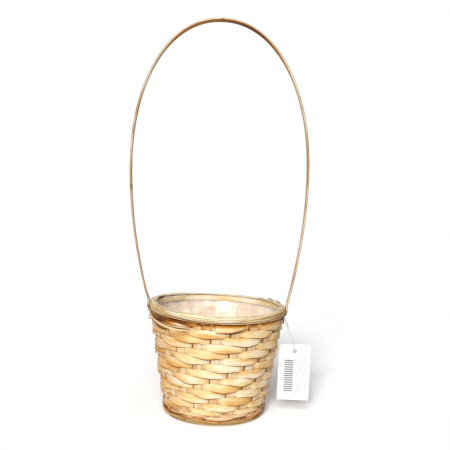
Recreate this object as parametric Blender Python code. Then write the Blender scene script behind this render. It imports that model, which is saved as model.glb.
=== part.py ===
"""A small flower basket of split bamboo, with a tall bow handle, a film liner and a swing tag.

Twenty-two flat stakes stand round the wall. They are the turned-up ends of eleven ribs, which cross each
other over and under in the base. One spiral of flat weavers climbs clockwise, seen from above, over two
stakes and behind the third. A rim of thin strands and an inner hoop hold the stake ends, the handle's legs
pass outside the rim and tuck behind a weaver, and a card tag hangs on a loop round the right-hand leg.

The origin is on the floor under the middle of the base, +Z is up and -Y is the front.
"""

import math

import bmesh
import bpy
from mathutils import Vector

MM = 0.001

# Counts of the weave
STAKE_COUNT = 22
TWILL_REPEAT = 3
STRIP_STAKES = 21
THIN_STRIPS = 2
WIDE_STRIPS = 14
PACKING_REPEATS = (5, 4)
EXTRA_STAKE_COUNT = 2
LENGTHWISE_RIBS = 5
CROSSWISE_RIBS = 6

# Stakes, which are the ribs' ends
STAKE_WIDTH = 7.8 * MM
STAKE_THICKNESS = 1.0 * MM
CORNER_RADIUS = 3.2 * MM
BASE_LIFT = 1.0 * MM
FOOT_RADIUS = 46.6 * MM
TOP_RADIUS = 61.6 * MM
WALL_BELLY = 0.8 * MM

# Weavers
WEAVER_WIDTH = 5.95 * MM
WEAVER_THICKNESS = 0.8 * MM
THIN_WIDTH = 2.4 * MM
LOWER_EDGE_PROUD = 0.5 * MM
CUT_END_PAST_MIDDLE = 0.5 * MM
BUTT_GAP = 0.8 * MM
EDGE_MARGIN = 0.25 * MM

# Clearances
WEAVE_CLEARANCE = 0.2 * MM
ROW_GAP = 0.3 * MM
SEAT_GAP = 0.3 * MM

# Hand-made unevenness of the rim: higher at the left, and higher at both ends than at front and back
RIM_TILT_RISE = 0.9 * MM
RIM_SADDLE_RISE = 0.75 * MM

# Rim and foot
RIM_STRAND_DEPTH = 1.7 * MM
RIM_STRAND_HEIGHT = 1.7 * MM
RIM_STRAND_COUNT = 3
RIM_STRAND_GAP = 0.3 * MM
CAP_HEIGHT = 1.3 * MM
HOOP_THICKNESS = 1.1 * MM
HOOP_HEIGHT = 5.0 * MM
FOOT_STRAND_HEIGHT = 2.0 * MM
FOOT_LOWER_DEPTH = 2.6 * MM
FOOT_UPPER_DEPTH = 1.7 * MM

# Film liner
LINER_THICKNESS = 0.3 * MM
LINER_CORNER = 5.0 * MM
LINER_EDGE_BELOW_RIM = 3.0 * MM

# Handle
HANDLE_WIDTH = 5.2 * MM
HANDLE_THICKNESS = 2.2 * MM
HANDLE_RISE = 268.0 * MM
HANDLE_WIDEST_RISE = 128.0 * MM
HANDLE_HALF_SPAN = 84.0 * MM
HANDLE_FOOT_SLOPE_SHARE = 0.26
HANDLE_LEAN = 6.0 * MM
TONGUE_TOP_THICKNESS = 1.5 * MM
TONGUE_TIP_THICKNESS = 0.9 * MM
TONGUE_TIP_WIDTH = 4.0 * MM
LEG_SIDE_ROOM = 1.2 * MM
TIE_THICKNESS = 0.8 * MM
TIE_HEIGHT = 1.3 * MM

# Tag and its loop
TAG_WIDTH = 30.4 * MM
TAG_HEIGHT = 54.6 * MM
TAG_THICKNESS = 0.5 * MM
TAG_HOLE_RADIUS = 1.5 * MM
TAG_HOLE_BELOW_EDGE = 6.8 * MM
TAG_DROP = 30.5 * MM
TAG_REACH = 14.4 * MM
TAG_PLANE = 4.0 * MM
LOOP_RADIUS = 0.35 * MM

# How finely round pieces are cut
RING_STEPS = 2 * STAKE_COUNT
CORNER_STEPS = 3
WALL_STEPS = 4
CROWN_STEPS = 14
LEG_STEPS = 7
LOOP_POINTS_PER_SPAN = 3

# Curves of the bow: how the lean grows with height, and how square the crown is
LEAN_EXPONENT = 0.8
CROWN_EXPONENT = 2.12

# Shares of the tag's reach and drop that the loop's front and back strands pass through
LOOP_FRONT_SHARES = ((0.5, 0.4), (0.97, 0.85))
LOOP_BACK_SHARES = ((1.0, 0.85), (0.65, 0.4))

# Points closer than this share of the weave's clearance are one
MERGE_SHARE = 0.01

# Shares of a strand's depth and height, from its flat side out
HALF_ROUND_SHARES = ((0.0, 0.0), (0.75, 0.1), (1.0, 0.5), (0.75, 0.9), (0.0, 1.0))

# Worked out from the sizes above
STAKE_STEP = 2 * math.pi / STAKE_COUNT
FRONT = -math.pi / 2
BACK = math.pi / 2
RIGHT = 0.0
LEFT = math.pi
FIRST = -THIN_STRIPS * STRIP_STAKES
LAST = WIDE_STRIPS * STRIP_STAKES + EXTRA_STAKE_COUNT
ROW_PITCH = WEAVER_WIDTH + ROW_GAP
BASE_LEVEL = BASE_LIFT + STAKE_THICKNESS + WEAVE_CLEARANCE / 2
FOOT_TOP = 2 * FOOT_STRAND_HEIGHT + SEAT_GAP
OVER_OFFSET = STAKE_THICKNESS / 2 + WEAVE_CLEARANCE + WEAVER_THICKNESS / 2


def is_over(number):
    """True where the weave passes outside the stake of that number."""
    return number % TWILL_REPEAT != 0


def stake_angle(number):
    """The weave runs clockwise and ends over the stake at the middle of the front."""
    return FRONT + (LAST - number) * STAKE_STEP


def strip_width(number):
    """Thin at the foot, growing to full width over the first wide strip, and split in two under the rim."""
    if number > LAST:
        share = ((number - LAST) % STAKE_COUNT) / STAKE_COUNT
        return ROW_PITCH * (1 - share) / 2 - ROW_GAP
    share = min(1.0, max(0.0, number / STRIP_STAKES))
    return THIN_WIDTH + (WEAVER_WIDTH - THIN_WIDTH) * share


def row_heights():
    """Height of the spiral's middle line at each stake it passes; each turn lies on the turn below."""
    heights = {}
    for number in range(FIRST, LAST + 2 * STAKE_COUNT):
        if number < FIRST + STAKE_COUNT:
            turns = (number - FIRST) / STAKE_COUNT
            first_row = FOOT_TOP + SEAT_GAP + THIN_WIDTH / 2
            heights[number] = first_row + turns * (THIN_WIDTH + ROW_GAP)
        else:
            below = number - STAKE_COUNT
            half_widths = (strip_width(number) + strip_width(below)) / 2
            heights[number] = heights[below] + half_widths + ROW_GAP
    return heights


HEIGHTS = row_heights()
RIM_BOTTOM = HEIGHTS[LAST] + WEAVER_WIDTH / 2 + SEAT_GAP
RIM_TOP = RIM_BOTTOM + RIM_STRAND_COUNT * RIM_STRAND_HEIGHT + (RIM_STRAND_COUNT - 1) * RIM_STRAND_GAP
STAKE_TOP = RIM_TOP - CAP_HEIGHT
WALL_LEAN = math.atan((TOP_RADIUS - FOOT_RADIUS) / (RIM_BOTTOM - BASE_LEVEL))
CORNER_START = FOOT_RADIUS - CORNER_RADIUS * math.cos(WALL_LEAN)
WALL_START = BASE_LEVEL + CORNER_RADIUS * (1 - math.sin(WALL_LEAN))


def between(table, number):
    """A value between two stakes, in proportion."""
    whole = math.floor(number)
    part = number - whole
    return table(whole) * (1 - part) + table(whole + 1) * part


def height_at(number):
    return between(HEIGHTS.get, number)


def width_at(number):
    return between(strip_width, number)


def wall_radius(height):
    """Radius of the stakes' middle surface: a straight flare with a slight belly."""
    share = (height - WALL_START) / (RIM_BOTTOM - WALL_START)
    return FOOT_RADIUS + (TOP_RADIUS - FOOT_RADIUS) * share + WALL_BELLY * 4 * share * (1 - share)


def outward(angle):
    return Vector((math.cos(angle), math.sin(angle), 0))


def along(angle):
    return Vector((-math.sin(angle), math.cos(angle), 0))


def lift(angle, height):
    """How far the uneven rim raises a point, in full at the rim and not at all on the floor."""
    rise = RIM_SADDLE_RISE * math.cos(2 * angle) - RIM_TILT_RISE * math.cos(angle)
    return rise * height / RIM_TOP


def on_wall(angle, across, height, offset):
    """A point in the flat frame of the stake at that angle."""
    level = height + lift(angle, height)
    return outward(angle) * (wall_radius(height) + offset) + along(angle) * across + Vector((0, 0, level))


def wall_up(angle, lean=WALL_LEAN):
    return outward(angle) * math.sin(lean) + Vector((0, 0, math.cos(lean)))


def wall_out(angle, lean=WALL_LEAN):
    return outward(angle) * math.cos(lean) - Vector((0, 0, math.sin(lean)))


def material(name, colour, roughness):
    made = bpy.data.materials.new(name)
    made.use_nodes = True
    shader = made.node_tree.nodes["Principled BSDF"]
    shader.inputs["Base Color"].default_value = (*colour, 1)
    shader.inputs["Roughness"].default_value = roughness
    shader.inputs["Metallic"].default_value = 0
    return made


def add_object(name, data, finish, origin=None):
    made = bpy.data.objects.new(name, data)
    made.location = origin or Vector()
    made.data.materials.append(finish)
    bpy.context.scene.collection.objects.link(made)
    return made


def mesh_from(bm, name):
    bmesh.ops.recalc_face_normals(bm, faces=bm.faces)
    mesh = bpy.data.meshes.new(name)
    bm.to_mesh(mesh)
    bm.free()
    return mesh


def section_corners(station):
    centre, half_width, half_thickness = station
    return [
        centre - half_width - half_thickness,
        centre + half_width - half_thickness,
        centre + half_width + half_thickness,
        centre - half_width + half_thickness,
    ]


def strip(name, stations, finish):
    """A flat strip: one section, extruded from station to station."""
    bm = bmesh.new()
    corners = [bm.verts.new(corner) for corner in section_corners(stations[0])]
    end = bm.faces.new(corners)
    start = end.copy()
    for station in stations[1:]:
        grown = bmesh.ops.extrude_discrete_faces(bm, faces=[end])
        end = grown["faces"][0]
        for vertex, corner in zip(end.verts, section_corners(station)):
            vertex.co = corner
    start.normal_flip()
    bmesh.ops.remove_doubles(bm, verts=bm.verts, dist=WEAVE_CLEARANCE * MERGE_SHARE)
    return add_object(name, mesh_from(bm, name), finish)


def turned(name, profile, closed, finish, steps=RING_STEPS):
    """A profile of (radius, height) points turned round the Z axis, then raised with the uneven rim."""
    bm = bmesh.new()
    points = [bm.verts.new((radius, 0, height)) for radius, height in profile]
    edges = [bm.edges.new(pair) for pair in zip(points, points[1:])]
    if closed:
        edges.append(bm.edges.new((points[-1], points[0])))
    bmesh.ops.spin(
        bm,
        geom=points + edges,
        axis=(0, 0, 1),
        cent=(0, 0, 0),
        angle=2 * math.pi,
        steps=steps,
        use_merge=True,
    )
    bmesh.ops.remove_doubles(bm, verts=bm.verts, dist=WEAVE_CLEARANCE * MERGE_SHARE)
    for vertex in bm.verts:
        vertex.co.z += lift(math.atan2(vertex.co.y, vertex.co.x), vertex.co.z)
    made = add_object(name, mesh_from(bm, name), finish)
    made.data.shade_smooth()
    made.data.set_sharp_from_angle(angle=math.radians(40))
    return made


def smooth_points(points, per_span):
    """Points on a closed smooth curve through the given ones."""
    found = []
    count = len(points)
    for index in range(count):
        before, start, end, after = (points[(index + step) % count] for step in (-1, 0, 1, 2))
        for piece in range(per_span):
            t = piece / per_span
            bend = 2 * before - 5 * start + 4 * end - after
            found.append(
                start
                + (end - before) * (t / 2)
                + bend * (t * t / 2)
                + (3 * (start - end) + after - before) * (t**3 / 2)
            )
    return found


# Ribs


def crossing_places(count):
    """Where parallel ribs lie, so that their ends land on evenly spaced stakes."""
    middle = (count - 1) / 2
    return [CORNER_START * math.sin((index - middle) * STAKE_STEP) for index in range(count)]


def stake_stations(angle, side):
    """From the base's edge round the corner and up the wall."""
    half_width = along(angle) * (side * STAKE_WIDTH / 2)
    stations = []
    for step in range(CORNER_STEPS + 1):
        turn = (math.pi / 2 - WALL_LEAN) * step / CORNER_STEPS
        radius = CORNER_START + CORNER_RADIUS * math.sin(turn)
        height = BASE_LEVEL + CORNER_RADIUS * (1 - math.cos(turn))
        inward = Vector((0, 0, math.cos(turn))) - outward(angle) * math.sin(turn)
        centre = outward(angle) * radius + Vector((0, 0, height))
        stations.append((centre, half_width, inward * STAKE_THICKNESS / 2))
    for step in range(1, WALL_STEPS + 1):
        height = WALL_START + (STAKE_TOP - WALL_START) * step / WALL_STEPS
        stations.append((on_wall(angle, 0, height, 0), half_width, wall_out(angle) * -STAKE_THICKNESS / 2))
    return stations


def base_stations(run, side_axis, place, crossings, first_up):
    """Over one crossing rib and under the next, straight across the base."""
    stations = []
    layer = (STAKE_THICKNESS + WEAVE_CLEARANCE) / 2
    reach = STAKE_WIDTH / 2 + EDGE_MARGIN
    for index, crossing in enumerate(crossings):
        up = (index % 2 == 0) == first_up
        level = BASE_LEVEL + (layer if up else -layer)
        for side in (-1, 1):
            centre = run * (crossing + side * reach) - side_axis * place + Vector((0, 0, level))
            stations.append((centre, side_axis * STAKE_WIDTH / 2, Vector((0, 0, STAKE_THICKNESS / 2))))
    return stations


def rib(name, run, start_angle, end_angle, place, crossings, first_up, finish):
    side_axis = Vector((run.y, -run.x, 0))
    stations = list(reversed(stake_stations(start_angle, 1)))
    stations += base_stations(run, side_axis, place, crossings, first_up)
    stations += stake_stations(end_angle, -1)
    return strip(name, stations, finish)


def add_ribs(finish):
    lengthwise = crossing_places(LENGTHWISE_RIBS)
    crosswise = crossing_places(CROSSWISE_RIBS)
    for index, place in enumerate(lengthwise):
        turn = (index - (LENGTHWISE_RIBS - 1) / 2) * STAKE_STEP
        run = Vector((0, 1, 0))
        name = f"rib_lengthwise_{index + 1}"
        rib(name, run, FRONT + turn, BACK - turn, -place, crosswise, index % 2 == 0, finish)
    for index, place in enumerate(crosswise):
        turn = (index - (CROSSWISE_RIBS - 1) / 2) * STAKE_STEP
        run = Vector((1, 0, 0))
        name = f"rib_crosswise_{index + 1}"
        rib(name, run, LEFT - turn, RIGHT + turn, place, lengthwise, index % 2 == 1, finish)


# Where the handle's legs meet the weave


def gap_number(angle):
    """The weave's number half way between two stakes, in its last turn, at the leg's angle."""
    turns = (angle - stake_angle(LAST)) / STAKE_STEP
    return LAST - (turns % STAKE_COUNT)


def tuck_number(angle):
    """The highest turn that passes outside both stakes beside the leg, which the leg tucks behind."""
    number = gap_number(angle)
    while not (is_over(math.floor(number)) and is_over(math.ceil(number))):
        number -= STAKE_COUNT
    return number


TUCKS = {RIGHT: tuck_number(RIGHT), LEFT: tuck_number(LEFT)}


def tuck_edges(angle):
    """Lower and upper edge of the weaver that a leg tucks behind."""
    number = TUCKS[angle]
    half = width_at(number) / 2
    return height_at(number) - half, height_at(number) + half


LEG_FACE = SEAT_GAP
TUCK_OFFSET = LEG_FACE + TONGUE_TOP_THICKNESS + WEAVE_CLEARANCE + WEAVER_THICKNESS / 2
BEHIND_OFFSET = -(WEAVE_CLEARANCE + WEAVER_THICKNESS / 2)


# Weavers


def weaver_station(angle, across, number, offset, proud_share):
    """One section of a weaver; its lower edge stands proud where it lies outside."""
    width = width_at(number)
    proud = LOWER_EDGE_PROUD * proud_share * width / WEAVER_WIDTH
    height = height_at(number)
    tilt = WALL_LEAN - math.asin(proud / width)
    centre = on_wall(angle, across, height, offset + proud / 2)
    return centre, wall_up(angle, tilt) * width / 2, wall_out(angle, tilt) * WEAVER_THICKNESS / 2


def stake_crossing(number, sides):
    """The sections where the weave passes outside or behind a stake."""
    angle = stake_angle(number)
    step = STAKE_STEP * wall_radius(height_at(number))
    offset = OVER_OFFSET if is_over(number) else -OVER_OFFSET
    proud_share = 1 if is_over(number) else 0
    return [weaver_station(angle, across, number - across / step, offset, proud_share) for across in sides]


def leg_crossing(number):
    """Extra sections where the weave passes one of the handle's legs."""
    middle = number + 1 / 2
    for angle, tuck in TUCKS.items():
        turns = (middle - tuck) / STAKE_COUNT
        if abs(turns - round(turns)) > 1 / (4 * STAKE_COUNT) or round(turns) < 0:
            continue
        step = STAKE_STEP * wall_radius(height_at(middle))
        tucked = round(turns) == 0
        room = HANDLE_WIDTH / 2 + (EDGE_MARGIN if tucked else LEG_SIDE_ROOM)
        offset = TUCK_OFFSET if tucked else BEHIND_OFFSET
        proud_share = 1 if tucked else 0
        sides = (room, -room)
        return [weaver_station(angle, across, middle - across / step, offset, proud_share) for across in sides]
    return []


def weaver(name, first, last, finish):
    reach = STAKE_WIDTH / 2 + EDGE_MARGIN
    half_butt = BUTT_GAP / 2
    stations = stake_crossing(first, (-half_butt, -reach))
    for number in range(first, last):
        stations += leg_crossing(number)
        if number + 1 < last:
            stations += stake_crossing(number + 1, (reach, -reach))
    closing = half_butt
    if is_over(last):
        closing = -CUT_END_PAST_MIDDLE
    stations += stake_crossing(last, (reach, closing))
    return strip(name, stations, finish)


def add_weavers(finish, foot_finish):
    for index in range(THIN_STRIPS):
        first = FIRST + index * STRIP_STAKES
        weaver(f"foot_weaver_{index + 1}", first, first + STRIP_STAKES, foot_finish)
    for index in range(WIDE_STRIPS):
        first = index * STRIP_STAKES
        last = first + STRIP_STAKES
        if index == WIDE_STRIPS - 1:
            last = LAST
        weaver(f"weaver_{index + 1:02d}", first, last, finish)
    start = LAST
    for index, repeats in enumerate(PACKING_REPEATS):
        first = math.ceil((start + 1) / TWILL_REPEAT) * TWILL_REPEAT
        weaver(f"packing_strip_{index + 1}", first, first + repeats * TWILL_REPEAT, finish)
        start = first + STAKE_COUNT - 1


# Rim and foot


def half_round(inner, outer, low, high, lying=False):
    """A strand's profile: flat on its inner side, or flat below where it lies on something."""
    points = []
    for out_share, up_share in HALF_ROUND_SHARES:
        if lying:
            out_share, up_share = up_share, out_share
        points.append((inner + (outer - inner) * out_share, low + (high - low) * up_share))
    return points


LINER_OFFSET = -(OVER_OFFSET + WEAVER_THICKNESS / 2 + SEAT_GAP)
HOOP_OFFSET = LINER_OFFSET - LINER_THICKNESS - WEAVE_CLEARANCE


def add_rim(finish):
    inner = wall_radius(RIM_TOP) + STAKE_THICKNESS / 2 + SEAT_GAP
    outer = inner + RIM_STRAND_DEPTH
    for index, level in enumerate(("lower", "middle", "upper")):
        low = RIM_BOTTOM + index * (RIM_STRAND_HEIGHT + RIM_STRAND_GAP)
        turned(f"rim_strand_{level}", half_round(inner, outer, low, low + RIM_STRAND_HEIGHT), True, finish)
    hoop_inside = wall_radius(STAKE_TOP) + HOOP_OFFSET - HOOP_THICKNESS
    low = STAKE_TOP + RIM_STRAND_GAP
    middle = (hoop_inside + inner) / 2
    caps = (("inner", hoop_inside, middle - RIM_STRAND_GAP), ("outer", middle, inner - RIM_STRAND_GAP))
    for label, start, end in caps:
        turned(f"rim_cap_{label}", half_round(start, end, low, low + CAP_HEIGHT, lying=True), True, finish)
    return outer


def add_hoop(finish):
    low = STAKE_TOP - HOOP_HEIGHT
    profile = [
        (wall_radius(low) + HOOP_OFFSET, low),
        (wall_radius(STAKE_TOP) + HOOP_OFFSET, STAKE_TOP),
        (wall_radius(STAKE_TOP) + HOOP_OFFSET - HOOP_THICKNESS, STAKE_TOP),
        (wall_radius(low) + HOOP_OFFSET - HOOP_THICKNESS, low),
    ]
    turned("inner_hoop", profile, True, finish)


def corner_outside(height):
    """Radius of the ribs' outer face where they turn up."""
    radius = CORNER_RADIUS + STAKE_THICKNESS / 2
    below_centre = BASE_LEVEL + CORNER_RADIUS - height
    return CORNER_START + math.sqrt(max(0.0, radius**2 - below_centre**2))


def add_foot(finish):
    lower = corner_outside(FOOT_STRAND_HEIGHT) + SEAT_GAP
    resting = half_round(lower, lower + FOOT_LOWER_DEPTH, 0, FOOT_STRAND_HEIGHT, lying=True)
    turned("foot_strand_lower", resting, True, finish)
    low = FOOT_STRAND_HEIGHT + SEAT_GAP
    upper = corner_outside(FOOT_TOP) + SEAT_GAP
    turned("foot_strand_upper", half_round(upper, upper + FOOT_UPPER_DEPTH, low, FOOT_TOP), True, finish)


def add_liner(finish):
    floor = BASE_LEVEL + STAKE_THICKNESS + WEAVE_CLEARANCE / 2 + SEAT_GAP
    top = RIM_TOP - LINER_EDGE_BELOW_RIM
    turn_up = floor + LINER_CORNER
    outside = [
        (0, floor),
        (wall_radius(turn_up) + LINER_OFFSET - LINER_CORNER, floor),
        (wall_radius(turn_up) + LINER_OFFSET, turn_up),
        (wall_radius((turn_up + top) / 2) + LINER_OFFSET, (turn_up + top) / 2),
        (wall_radius(top) + LINER_OFFSET, top),
    ]
    inside = [
        (wall_radius(top) + LINER_OFFSET - LINER_THICKNESS, top),
        (wall_radius((turn_up + top) / 2) + LINER_OFFSET - LINER_THICKNESS, (turn_up + top) / 2),
        (wall_radius(turn_up) + LINER_OFFSET - LINER_THICKNESS, turn_up),
        (wall_radius(turn_up) + LINER_OFFSET - LINER_CORNER, floor + LINER_THICKNESS),
        (0, floor + LINER_THICKNESS),
    ]
    turned("film_liner", outside + inside, False, finish)


# Handle


def rim_level(angle, height):
    return height + lift(angle, height)


def leg_stations(angle, rim_outside):
    """From the tongue's tip behind the weaver up to the rim's top, outside the rim."""
    bottom, top = tuck_edges(angle)
    stations = []
    across = along(angle)
    bend = top + SEAT_GAP
    levels = (
        (bottom + ROW_GAP, LEG_FACE, TONGUE_TIP_THICKNESS, TONGUE_TIP_WIDTH),
        (bend, LEG_FACE, TONGUE_TOP_THICKNESS, HANDLE_WIDTH),
    )
    for height, face, thickness, width in levels:
        centre = on_wall(angle, 0, height, face + thickness / 2)
        stations.append((centre, across * width / 2, wall_out(angle) * thickness / 2))
    for height in (RIM_BOTTOM, RIM_TOP):
        radius = rim_outside + SEAT_GAP + HANDLE_THICKNESS / 2
        centre = outward(angle) * radius + Vector((0, 0, rim_level(angle, height)))
        stations.append((centre, across * HANDLE_WIDTH / 2, outward(angle) * HANDLE_THICKNESS / 2))
    return stations


def bow_centre(share, side, rim_outside):
    """A point of the bow's middle line; share is 0 at the rim, 1 at the widest place and 2 at the crown."""
    start = rim_outside + SEAT_GAP + HANDLE_THICKNESS / 2
    if share <= 1:
        rise = HANDLE_WIDEST_RISE * share
        bulge = HANDLE_FOOT_SLOPE_SHARE * HANDLE_WIDEST_RISE * share * (1 - share) ** 2
        eased = share * share * (3 - 2 * share)
        span = start + (HANDLE_HALF_SPAN - start) * eased + bulge
    else:
        turn = (share - 1) * math.pi / 2
        power = 2 / CROWN_EXPONENT
        span = HANDLE_HALF_SPAN * abs(math.cos(turn)) ** power
        rise = HANDLE_WIDEST_RISE + (HANDLE_RISE - HANDLE_WIDEST_RISE) * math.sin(turn) ** power
    lean = HANDLE_LEAN * (rise / HANDLE_RISE) ** LEAN_EXPONENT
    return Vector((side * span - lean, 0, RIM_TOP + rise))


def bow_points(side, rim_outside):
    shares = [step / LEG_STEPS for step in range(1, LEG_STEPS)]
    shares += [1 + step / CROWN_STEPS for step in range(CROWN_STEPS)]
    return [bow_centre(share, side, rim_outside) for share in shares]


def add_handle(rim_outside, finish):
    points = bow_points(1, rim_outside)
    points.append(bow_centre(2, 1, rim_outside))
    points += reversed(bow_points(-1, rim_outside))
    half_width = Vector((0, HANDLE_WIDTH / 2, 0))
    stations = leg_stations(RIGHT, rim_outside)
    for index, point in enumerate(points):
        before = points[max(0, index - 1)]
        after = points[min(len(points) - 1, index + 1)]
        run = (after - before).normalized()
        out = Vector((run.z, 0, -run.x))
        stations.append((point, half_width, out * HANDLE_THICKNESS / 2))
    left = leg_stations(LEFT, rim_outside)
    stations += [(centre, -half, out) for centre, half, out in reversed(left)]
    strip("bow_handle", stations, finish)


def leg_outside(angle, height, rim_outside):
    """Offset of the leg's outer face from the wall's middle surface, between the tuck and the rim."""
    bend = tuck_edges(angle)[1] + SEAT_GAP
    share = (height - bend) / (RIM_BOTTOM - bend)
    low = LEG_FACE + TONGUE_TOP_THICKNESS
    high = rim_outside + SEAT_GAP + HANDLE_THICKNESS - wall_radius(RIM_BOTTOM)
    return low + (high - low) * share


def add_tie(name, angle, rim_outside, finish):
    """A strand bound round the outside of a leg, just above the weaver that holds its end."""
    height = tuck_edges(angle)[1] + SEAT_GAP + TIE_HEIGHT / 2
    side = HANDLE_WIDTH / 2 + SEAT_GAP + TIE_THICKNESS / 2
    near = SEAT_GAP + TIE_THICKNESS / 2
    far = leg_outside(angle, height + TIE_HEIGHT / 2, rim_outside) + SEAT_GAP + TIE_THICKNESS / 2
    half_height = Vector((0, 0, TIE_HEIGHT / 2))
    out = outward(angle)
    across = along(angle)
    slant = (out + across).normalized() / math.cos(math.pi / 8)
    counter = (out - across).normalized() / math.cos(math.pi / 8)
    corner = TIE_THICKNESS
    route = (
        (side, near, across),
        (side, far - corner, slant.lerp(across, 1 / 2)),
        (side - corner, far, slant.lerp(out, 1 / 2)),
        (corner - side, far, counter.lerp(out, 1 / 2)),
        (-side, far - corner, counter.lerp(-across, 1 / 2)),
        (-side, near, -across),
    )
    stations = []
    for place, offset, facing in route:
        centre = on_wall(angle, place, height, offset)
        stations.append((centre, half_height, facing.normalized() * TIE_THICKNESS / 2))
    strip(name, stations, finish)


# Tag


def bight_place():
    """Where the loop passes behind the right-hand leg, which is the axis that it swings on."""
    height = tuck_edges(RIGHT)[1] + 2 * SEAT_GAP + TIE_HEIGHT + 2 * LOOP_RADIUS
    behind_row = BEHIND_OFFSET + WEAVER_THICKNESS / 2
    offset = behind_row + SEAT_GAP + LOOP_RADIUS
    return on_wall(RIGHT, 0, height, offset)


def add_loop(bight, hole, finish):
    """A moulded nylon loop round the leg and through the tag's hole."""
    side = HANDLE_WIDTH / 2 + SEAT_GAP + LOOP_RADIUS
    out = HANDLE_THICKNESS + 2 * SEAT_GAP + TIE_THICKNESS + LOOP_RADIUS
    drop = hole - bight
    through = TAG_THICKNESS / 2 + SEAT_GAP + LOOP_RADIUS
    top_bar = hole.z + TAG_HOLE_RADIUS - LOOP_RADIUS - SEAT_GAP - bight.z
    front = -TAG_PLANE - through
    back = -TAG_PLANE + through
    guide = [
        Vector((0, 0, 0)),
        Vector((0, -side, 0)),
        Vector((out, -side - LOOP_RADIUS, -LOOP_RADIUS)),
    ]
    guide += [Vector((drop.x * reach, front, drop.z * fall)) for reach, fall in LOOP_FRONT_SHARES]
    guide += [Vector((drop.x, front, top_bar)), Vector((drop.x, back, top_bar))]
    reach, fall = LOOP_BACK_SHARES[0]
    guide.append(Vector((drop.x * reach, back, drop.z * fall)))
    reach, fall = LOOP_BACK_SHARES[1]
    guide.append(Vector((drop.x * reach, side - through, drop.z * fall)))
    guide += [Vector((out, side + LOOP_RADIUS, -LOOP_RADIUS)), Vector((0, side, 0))]
    curve = bpy.data.curves.new("tag_loop", "CURVE")
    curve.dimensions = "3D"
    curve.bevel_depth = LOOP_RADIUS
    curve.bevel_resolution = 1
    spline = curve.splines.new("POLY")
    points = smooth_points(guide, LOOP_POINTS_PER_SPAN)
    spline.points.add(len(points) - 1)
    for target, point in zip(spline.points, points):
        target.co = (*point, 1)
    spline.use_cyclic_u = True
    add_object("tag_loop", curve, finish, bight)


def add_tag(hole, finish):
    """A card with square corners and a punched hole, standing in the plane of the handle."""
    bm = bmesh.new()
    bmesh.ops.create_cube(bm, size=1)
    bmesh.ops.scale(bm, vec=(TAG_WIDTH, TAG_THICKNESS, TAG_HEIGHT), verts=bm.verts)
    bmesh.ops.translate(bm, vec=(0, 0, TAG_HOLE_BELOW_EDGE - TAG_HEIGHT / 2), verts=bm.verts)
    tag = add_object("swing_tag", mesh_from(bm, "swing_tag"), finish, hole)
    bm = bmesh.new()
    bmesh.ops.create_cone(
        bm,
        cap_ends=True,
        segments=16,
        radius1=TAG_HOLE_RADIUS,
        radius2=TAG_HOLE_RADIUS,
        depth=TAG_THICKNESS * 3,
    )
    punch = add_object("tag_punch", mesh_from(bm, "tag_punch"), finish, hole)
    punch.rotation_euler = (math.pi / 2, 0, 0)
    punch.hide_render = True
    punch.display_type = "WIRE"
    cut = tag.modifiers.new("Hole", "BOOLEAN")
    cut.operation = "DIFFERENCE"
    cut.solver = "EXACT"
    cut.object = punch


def main():
    for old in list(bpy.data.objects):
        bpy.data.objects.remove(old)
    golden = material("Golden bamboo", (0.68, 0.44, 0.19), 0.5)
    cream = material("Cream bamboo", (0.8, 0.62, 0.36), 0.48)
    green = material("Pale green bamboo skin", (0.72, 0.6, 0.28), 0.42)
    tan = material("Tan bamboo strip", (0.55, 0.36, 0.17), 0.5)
    film = material("Clear film", (0.85, 0.78, 0.7), 0.12)
    nylon = material("Nylon", (0.85, 0.87, 0.88), 0.3)
    card = material("White card", (0.88, 0.88, 0.88), 0.6)
    add_ribs(golden)
    add_weavers(cream, golden)
    rim_outside = add_rim(green)
    add_hoop(cream)
    add_foot(green)
    add_liner(film)
    add_handle(rim_outside, tan)
    add_tie("handle_tie_right", RIGHT, rim_outside, green)
    add_tie("handle_tie_left", LEFT, rim_outside, green)
    bight = bight_place()
    hole = Vector((bight.x + TAG_REACH, -TAG_PLANE, bight.z - TAG_DROP))
    add_loop(bight, hole, nylon)
    add_tag(hole, card)


main()
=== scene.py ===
"""The look of a small split-bamboo flower basket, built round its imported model.

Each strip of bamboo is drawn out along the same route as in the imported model, with the arch, the dip and
the shaved edges of a hand-woven one. Lengths are in millimetres times MM.
"""

import math
from typing import Callable, NamedTuple

import bmesh
import bpy
from mathutils import Matrix, Vector, noise


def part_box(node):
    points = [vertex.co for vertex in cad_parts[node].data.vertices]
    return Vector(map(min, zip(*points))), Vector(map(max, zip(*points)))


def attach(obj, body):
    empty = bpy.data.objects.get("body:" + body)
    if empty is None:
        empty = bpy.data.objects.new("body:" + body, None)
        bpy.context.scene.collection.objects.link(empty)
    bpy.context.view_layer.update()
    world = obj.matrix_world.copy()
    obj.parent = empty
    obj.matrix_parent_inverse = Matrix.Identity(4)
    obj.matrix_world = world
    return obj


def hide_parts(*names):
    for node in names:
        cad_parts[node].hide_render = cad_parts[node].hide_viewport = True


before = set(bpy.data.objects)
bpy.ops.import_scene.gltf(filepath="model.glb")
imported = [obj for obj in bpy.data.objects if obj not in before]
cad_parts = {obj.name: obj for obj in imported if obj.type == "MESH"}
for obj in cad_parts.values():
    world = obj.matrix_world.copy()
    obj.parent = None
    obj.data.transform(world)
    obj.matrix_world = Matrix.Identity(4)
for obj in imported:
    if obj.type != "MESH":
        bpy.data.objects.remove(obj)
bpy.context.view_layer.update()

MM = 0.001

# Camera of the photograph, for a picture of 450 by 450
PICTURE = 450
LENS = 52.0
SENSOR = 36.0
CAMERA_PLACE = Vector((0, -619 * MM, 215 * MM))
CAMERA_PITCH = math.radians(-3.49)
CAMERA_ROLL = math.radians(2.3)
PRINCIPAL_POINT = (220.7, 226.0)

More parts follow.
